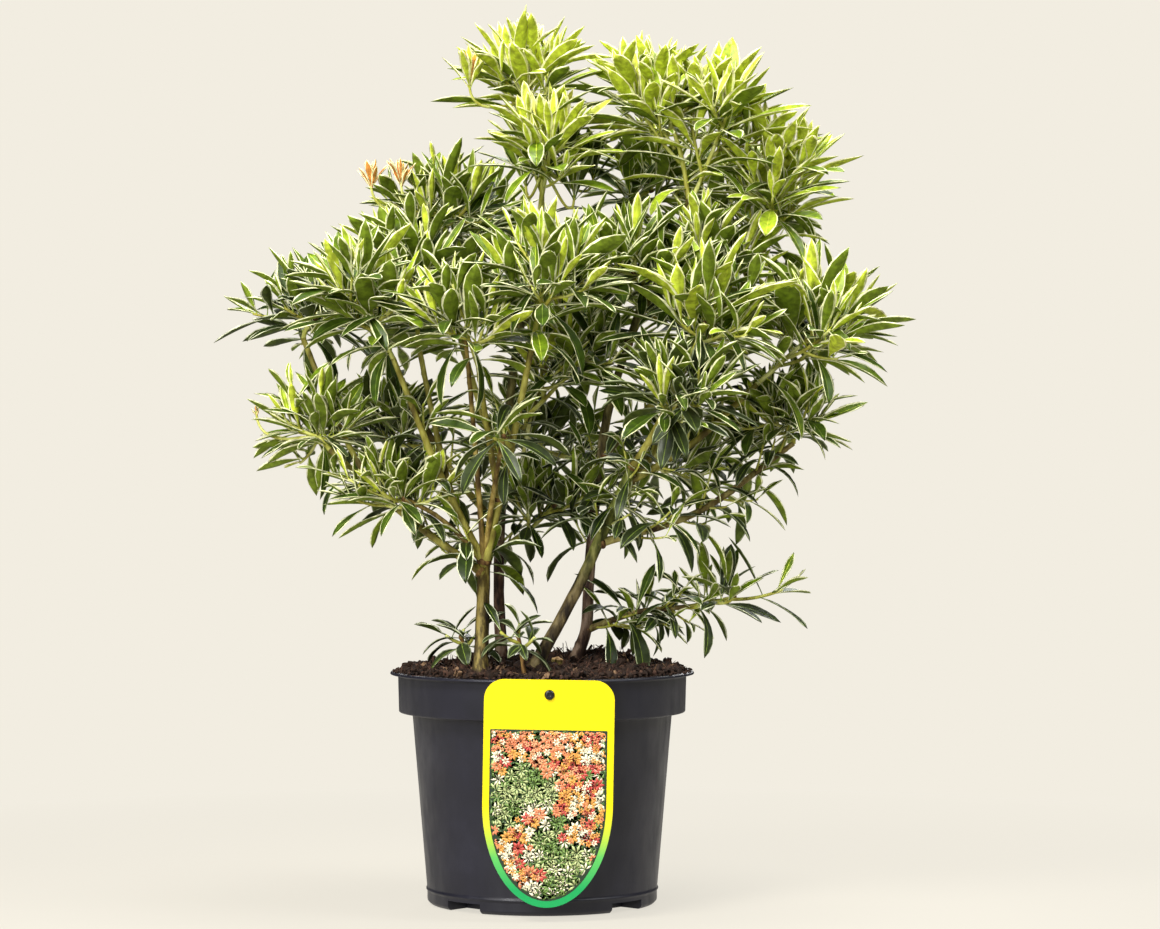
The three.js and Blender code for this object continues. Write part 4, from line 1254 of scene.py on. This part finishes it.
def leaf_faces():
    """The faces of one leaf and what each shows, as arrays by number of corners."""
    left, right, kinds = np.array(OVER + BENEATH).T
    under = np.arange(len(kinds)) >= len(OVER)
    columns = len(OUTLINE)
    last, tip = (len(ROWS) - 1) * columns, len(ROWS) * columns

    def facing(*corners):
        faces = np.stack(np.broadcast_arrays(*corners), 1)
        return np.where(under[:, None], flipped(faces), faces)

    quads = [facing(near + left, near + columns + left, near + columns + right, near + right)
             for near in range(0, last, columns)]
    shows = [np.full(len(kinds), RIB)] + [kinds] * (len(ROWS) - 2)  # the first stretch is the stalk
    fans = facing(last + left, tip, last + right)
    return [(np.concatenate(quads), np.concatenate(shows)), (fans, kinds), (np.array([OUTLINE]), [UNDER])]


def leaf_points(leaves):
    """The corners of many leaves at once: narrow at the stalk, widest past the middle, pointed."""
    rng = np.random.default_rng(len(leaves))
    root, along, up = (np.array([leaf[key] for leaf in leaves]) for key in ("root", "along", "up"))
    length, width, bend, fold, twist, margin = (
        np.array([leaf[key] for leaf in leaves])[:, None]
        for key in ("length", "width", "bend", "fold", "twist", "margin")
    )
    side = unit(np.cross(up, along))
    above = np.cross(along, side)
    t = np.append(ROWS, 1.0)[None, :]
    rise, fall = LEAF["rise"], LEAF["fall"]
    peak = (rise / (rise + fall)) ** rise * (fall / (rise + fall)) ** fall
    half = width / 2 * t**rise * (1 - t) ** fall / peak
    half = np.maximum(half, LEAF["least_half"] * (1 - t))
    edge = np.minimum(margin * rng.uniform(*LEAF["margin_span"], half.shape), 0.45 * half)
    rib = np.minimum(LEAF["rib"] * (1.2 - 0.8 * t), 0.3 * half)

    # The middle line bends down as an arc, and the leaf twists about it.
    angle = bend * t
    safe = np.where(np.abs(bend) < 1e-3, 1e-3, bend)
    ahead, drop = (np.sin(safe * t) / safe)[..., None], ((1 - np.cos(safe * t)) / safe)[..., None]
    middle = root[:, None] + length[..., None] * (along[:, None] * ahead - above[:, None] * drop)
    normal = above[:, None] * np.cos(angle)[..., None] + along[:, None] * np.sin(angle)[..., None]
    turn = (twist * t)[..., None]
    across = side[:, None] * np.cos(turn) + normal * np.sin(turn)
    normal = normal * np.cos(turn) - side[:, None] * np.sin(turn)

    each = (len(leaves), 1)
    wave = rng.uniform(*LEAF["wave"], each) * np.sin(LEAF["ripples"] * t + rng.uniform(0, 6, each))
    thick = LEAF["thickness"] * np.minimum(1, half)
    inner = half - edge
    places = [
        (-half, wave), (-inner, thick / 2), (-rib, thick * 0.3), (rib, thick * 0.3), (inner, thick / 2),
        (half, -wave), (-inner, -thick / 2), (-rib, -thick), (rib, -thick), (inner, -thick / 2),
    ]
    open_fold = fold * (1 - 0.4 * t)
    rows = []
    for x, z in places:
        lift = np.abs(x) * np.sin(open_fold) + z
        rows.append(middle + across * (x * np.cos(open_fold))[..., None] + normal * lift[..., None])
    points = np.stack(rows, axis=2)[:, :-1].reshape(len(leaves), -1, 3)
    return np.concatenate([points, middle[:, -1:]], axis=1)


def make_leaves(name, leaves, slot, library, nodes=()):
    """One piece of many leaves, coloured spray by spray."""
    shown = [*BLADES, *UNDERSIDES, *MARGINS, *RIBS]
    kinds = {blade: [shown.index(key) for key in (margin, blade, rib, under)]
             for blade, (margin, rib, under) in LOOKS.items()}
    wanted = np.array([kinds[leaf["blade"]] for leaf in leaves])
    points = leaf_points(leaves)
    shape = Shape()
    shape.add(points)
    for faces, shows in leaf_faces():
        shape.join(repeated(faces, len(leaves), points.shape[1]), wanted[:, shows].ravel())
    return dress(shape.build(name, [library[key] for key in shown]), slot, *nodes)


# ---------------------------------------------------------------- shoots and rosettes


def shoot_tips(mass):
    """Where the shoots of a mass end."""
    lowest = CROWN_SPREAD["bare_polar" if mass.bare else "low_polar"]
    for k in range(mass.shoots):
        share = math.sqrt(k / max(mass.shoots - 1, 1))
        polar = math.radians(mix(CROWN_SPREAD["top_polar"], lowest, share))
        azimuth = math.radians(mass.turn + (k - 1) * GOLDEN_ANGLE)
        out = [math.sin(polar) * math.cos(azimuth), math.sin(polar) * math.sin(azimuth), math.cos(polar)]
        yield np.array(mass.heart) + mass.spread * np.array(out) * mass.reach


def mass_stem(mass, paths):
    """The stem of a mass, from its limb or the soil to its heart."""
    heart = np.array(mass.heart, float)
    start, heading = rooted(mass, paths)
    reach = np.linalg.norm(heart - start)
    bow = heading * BOW * reach if mass.at == 1 else -UP * SAG * reach
    return arc(start, (start + heart) / 2 + bow, heart)


def rosette(leaves, twig, kind, size, ages, rng, end=1.0, breadth=1.0):
    """Leaves round a twig in a spiral, from the youngest at one share of its length downwards."""
    kind = ROSETTES[kind]
    blades = AGE_AND_LIGHT[ages].split()[kind.past:]
    axis = unit(mix(twig.heading(end), UP, TO_LIGHT))
    side, over = square_to(axis)
    face_up = unit(mix(axis, UP, 0.5))
    first_turn = 360 * rng()
    count = kind.count + int(3 * rng())
    tone = TONE["rosette"] * rng() + TONE["shift"]

    def sway(what):
        return SWAY[what] * (rng() - 0.5)

    for i in range(count):
        age = i / max(count - 1, 1)
        turn = math.radians(first_turn + i * GOLDEN_ANGLE + sway("turn"))
        lean = math.radians(mix(*kind.lean, age**0.8) + sway("lean"))
        out = side * math.cos(turn) + over * math.sin(turn)
        grown = mix(kind.young, 1, min(1, 1.9 * age)) * varied(CHANCE["size"], rng)
        broad = LEAF["width"] * kind.width * size * breadth * grown
        leaf = {
            "root": twig.at(max(0, end - (0.8 + kind.cover * age) / twig.length)),
            "along": axis * math.cos(lean) + out * math.sin(lean),
            "up": face_up,
            "length": LEAF["length"] * kind.length * size * grown,
            "width": broad * varied(CHANCE["width"], rng),
            "bend": math.radians(mix(*kind.bend, age) + sway("bend")),
            "fold": math.radians(mix(FOLD["young"], FOLD["old"], age) + FOLD["chance"] * rng()),
            "twist": math.radians(sway("twist")),
            "margin": LEAF["margin"] * varied(CHANCE["margin"], rng),
        }
        place = age * len(blades) + tone + TONE["leaf"] * (rng() - 0.5)
        leaf["blade"] = blades[int(np.clip(place, 0, len(blades) - 1))]
        leaf["margin"] *= EDGES[LOOKS[leaf["blade"]][0]]
        leaves.append(leaf)


def side_twig(twig, share, turn, reach):
    """A finer twig that leaves another at about 50 degrees."""
    heading = twig.heading(share)
    side, over = square_to(heading)
    out = side * math.cos(math.radians(turn)) + over * math.sin(math.radians(turn))
    start = twig.at(share)
    return bowed(start, start + reach * unit(0.75 * heading + 0.85 * out + 0.25 * UP))


def height_in_crown(mass):
    return next(name for name, start in HEIGHTS.items() if mass.heart[2] > start)


def zone(mass):
    """The part of the crown that a mass belongs to."""
    x, y, _ = mass.heart
    side = "back" if y > BACK_FROM else ("left" if x < 0 else "right")
    return height_in_crown(mass), side


def grow_mass(number, mass, paths, leaves, twigs):
    """The shoots of one mass, their finer twigs, their rosettes and the old whorl below them."""
    stem = mass_stem(mass, paths)
    size, ages = mass.size, mass.ages or height_in_crown(mass)
    breadth = BREADTH[height_in_crown(mass)]
    green, node = 0, 1
    skin = node if mass.kind == "basal" else green
    twig_tube(twigs, stem, "mass", skin, bark_relief("mass", stem.length, 90))
    swelling(twigs, stem, GROWTH["knot"], TAPERS["mass"][1] * KNOT["over_twig"], node)
    old = random(7000 + number)
    if mass.at == 1 and isinstance(mass.on, str) and not mass.bare:
        rosette(leaves, stem, "whorl", size, ages, old, min(1, GROWTH["whorl"] / stem.length), breadth)
    for k, tip in enumerate(shoot_tips(mass)):
        rng = random(1000 * (number + 1) + k)
        up = GROWTH["first"] - GROWTH["apart"] * k
        twig = bowed(mix(stem.at(GROWTH["lowest"]), stem.at(1.0), up), tip)
        twig_tube(twigs, twig, "shoot")
        if mass.kind:
            rosette(leaves, twig, mass.kind, size, ages, rng)
            continue
        rosette(leaves, twig, "tip", size * mix(*GROWTH["tip_size"], rng()), ages, rng, 1, breadth)
        if not mass.bare:
            rosette(leaves, twig, "skirt", size, ages, rng, GROWTH["skirt"], breadth)
        for share in GROWTH["side_twigs"][:1 + k % 2]:
            finer = side_twig(twig, share, 360 * rng(), varied(SIDE_REACH, rng))
            twig_tube(twigs, finer, "twig")
            rosette(leaves, finer, "side", size, ages, rng, 1, breadth)
    for tip, tuft_size, tuft_age_and_light in TUFTS.get(mass.name, []):
        stalk = arc(stem.at(GROWTH["stalks"]), tip - UP * TUFT_STALK, np.array(tip, float), 12)
        twig_tube(twigs, stalk, "stalk")
        rosette(leaves, stalk, "tuft", tuft_size, tuft_age_and_light, old)


def make_foliage(library, paths):
    """The masses, joined by height and side into pieces of leaves and pieces of twigs."""
    for height, side in sorted({zone(mass) for mass in MASSES}):
        members = [(i, mass) for i, mass in enumerate(MASSES) if zone(mass) == (height, side)]
        leaves, twigs = [], Shape()
        for number, mass in members:
            grow_mass(number, mass, paths, leaves, twigs)
        nodes = ["foliage_" + mass.name for _, mass in members]
        make_leaves(f"leaves_{height}_{side}", leaves, "leaf_" + height, library, nodes)
        piece = twigs.build(f"twigs_{height}_{side}", [library["shoot_green"], library["node_brown"]])
        dress(piece, "bark_green", *nodes)


def make_sprigs(library, paths):
    """Short shaded sprigs on the limbs, with narrow leaves that arch over."""
    leaves, twigs = [], Shape()
    for number, (limb, stretch, count, size) in enumerate(SPRIGS):
        rng = random(500 + number)
        for i in range(count):
            share = mix(*stretch, (i + rng()) / count)
            turn = 360 * rng() + i * GOLDEN_ANGLE
            twig = side_twig(paths[limb], share, turn, varied(SPRIG_REACH, rng))
            twig_tube(twigs, twig, "sprig")
            # The sprigs take the dark list: darker blades, partly painted shade inside the crown.
            rosette(leaves, twig, "sprig", size * varied(SPRIG_SIZE, rng), "dark", rng)
    make_leaves("leaves_on_sprigs", leaves, "leaf_dark", library)
    dress(twigs.build("sprigs", [library["shoot_green"]]), "bark_green")


# ---------------------------------------------------------------- stage, light and camera


def glow_material(name, near, far, least=0.0):
    """Matt pale paper that passes into an even glow between two distances from the pot, in metres.

    least is the share of glow that it has from the start."""
    made = Material(name, PAPER, 0.9, 0.1)
    glow = made.node("ShaderNodeEmission")
    glow.inputs["Color"].default_value = colour(BACKDROP)
    blend = made.node("ShaderNodeMixShader")
    distance = made.node("ShaderNodeVectorMath", operation="LENGTH")
    made.link(made.place((1, 1, 0)), distance.inputs[0])
    made.link(made.spread(distance.outputs["Value"], least, 1, near, far), blend.inputs["Fac"])
    made.link(made.shader.outputs["BSDF"], blend.inputs[1])
    made.link(glow.outputs["Emission"], blend.inputs[2])
    output = next(node for node in made.tree.nodes if node.type == "OUTPUT_MATERIAL")
    made.link(blend.outputs["Shader"], output.inputs["Surface"])
    return made.material


def make_stage():
    """A pale floor under the pot and a round backdrop far outside any view's camera."""
    radius, top, bottom = FLOOR["radius"], FLOOR["top"], FLOOR["bottom"]
    disc = lathe([(0, bottom), (radius, bottom), (radius, top), (0, top)], STAGE_SIDES)
    floor = disc.build("floor", [glow_material("paper", 0.2, 0.75, 0.75)])
    curve = [(SWEEP["radius"] - SWEEP["curve"] * math.cos(a), SWEEP["curve"] - SWEEP["curve"] * math.sin(a))
             for a in np.linspace(math.pi / 2, 0, 16)]
    profile = [(0, SWEEP["bottom"]), *[(r, z - SWEEP["below"]) for r, z in curve], SWEEP["eaves"]]
    dome = lathe([*profile, (0, SWEEP["roof"])], STAGE_SIDES)
    backdrop = dome.build("backdrop", [glow_material("paper_far", -1, -0.5)])
    for name in ("visible_diffuse", "visible_glossy", "visible_shadow", "visible_transmission"):
        setattr(backdrop, name, False)


def area_light(name, place, target, size, power, tint):
    light = bpy.data.lights.new(name, "AREA")
    light.shape, light.size, light.energy, light.color = "DISK", size, power, tint
    lamp = bpy.data.objects.new(name, light)
    bpy.context.scene.collection.objects.link(lamp)
    lamp.location = place
    away = np.array(place) - np.array(target)
    flat = math.hypot(away[0], away[1])
    lamp.rotation_euler = (math.atan2(flat, away[2]), 0, math.atan2(away[0], -away[1]))


def make_light():
    for name, row in LIGHTS.items():
        area_light(name, *row)
    world = bpy.data.worlds.new("studio")
    world.use_nodes = True
    background = next(node for node in world.node_tree.nodes if node.type == "BACKGROUND")
    background.inputs["Color"].default_value = WORLD["tint"]
    background.inputs["Strength"].default_value = WORLD["strength"]
    scene = bpy.context.scene
    scene.world = world
    scene.view_settings.view_transform = "Standard"


def make_camera():
    data = bpy.data.cameras.new("camera")
    data.sensor_width = SENSOR_WIDTH
    data.lens = CAMERA["focal_pixels"] / PHOTO_WIDTH * SENSOR_WIDTH
    camera = bpy.data.objects.new("camera", data)
    camera.location = [CAMERA["x"] * MM, CAMERA["y"] * MM, CAMERA["height"] * MM]
    camera.rotation_euler.x = math.pi / 2
    bpy.context.scene.collection.objects.link(camera)
    bpy.context.scene.camera = camera


# ---------------------------------------------------------------- the scene


def make_scene():
    make_camera()
    library = make_materials()
    make_pot(library)
    make_soil(library)
    litter = np.random.default_rng(11)
    make_crumbs(library, litter)
    make_chips(library, litter)
    make_label(library)
    make_pin(library)
    paths = make_limbs(library)
    make_risers(library, paths)
    make_stub(library)
    make_foliage(library, paths)
    make_sprigs(library, paths)
    make_stage()
    make_light()


make_scene()
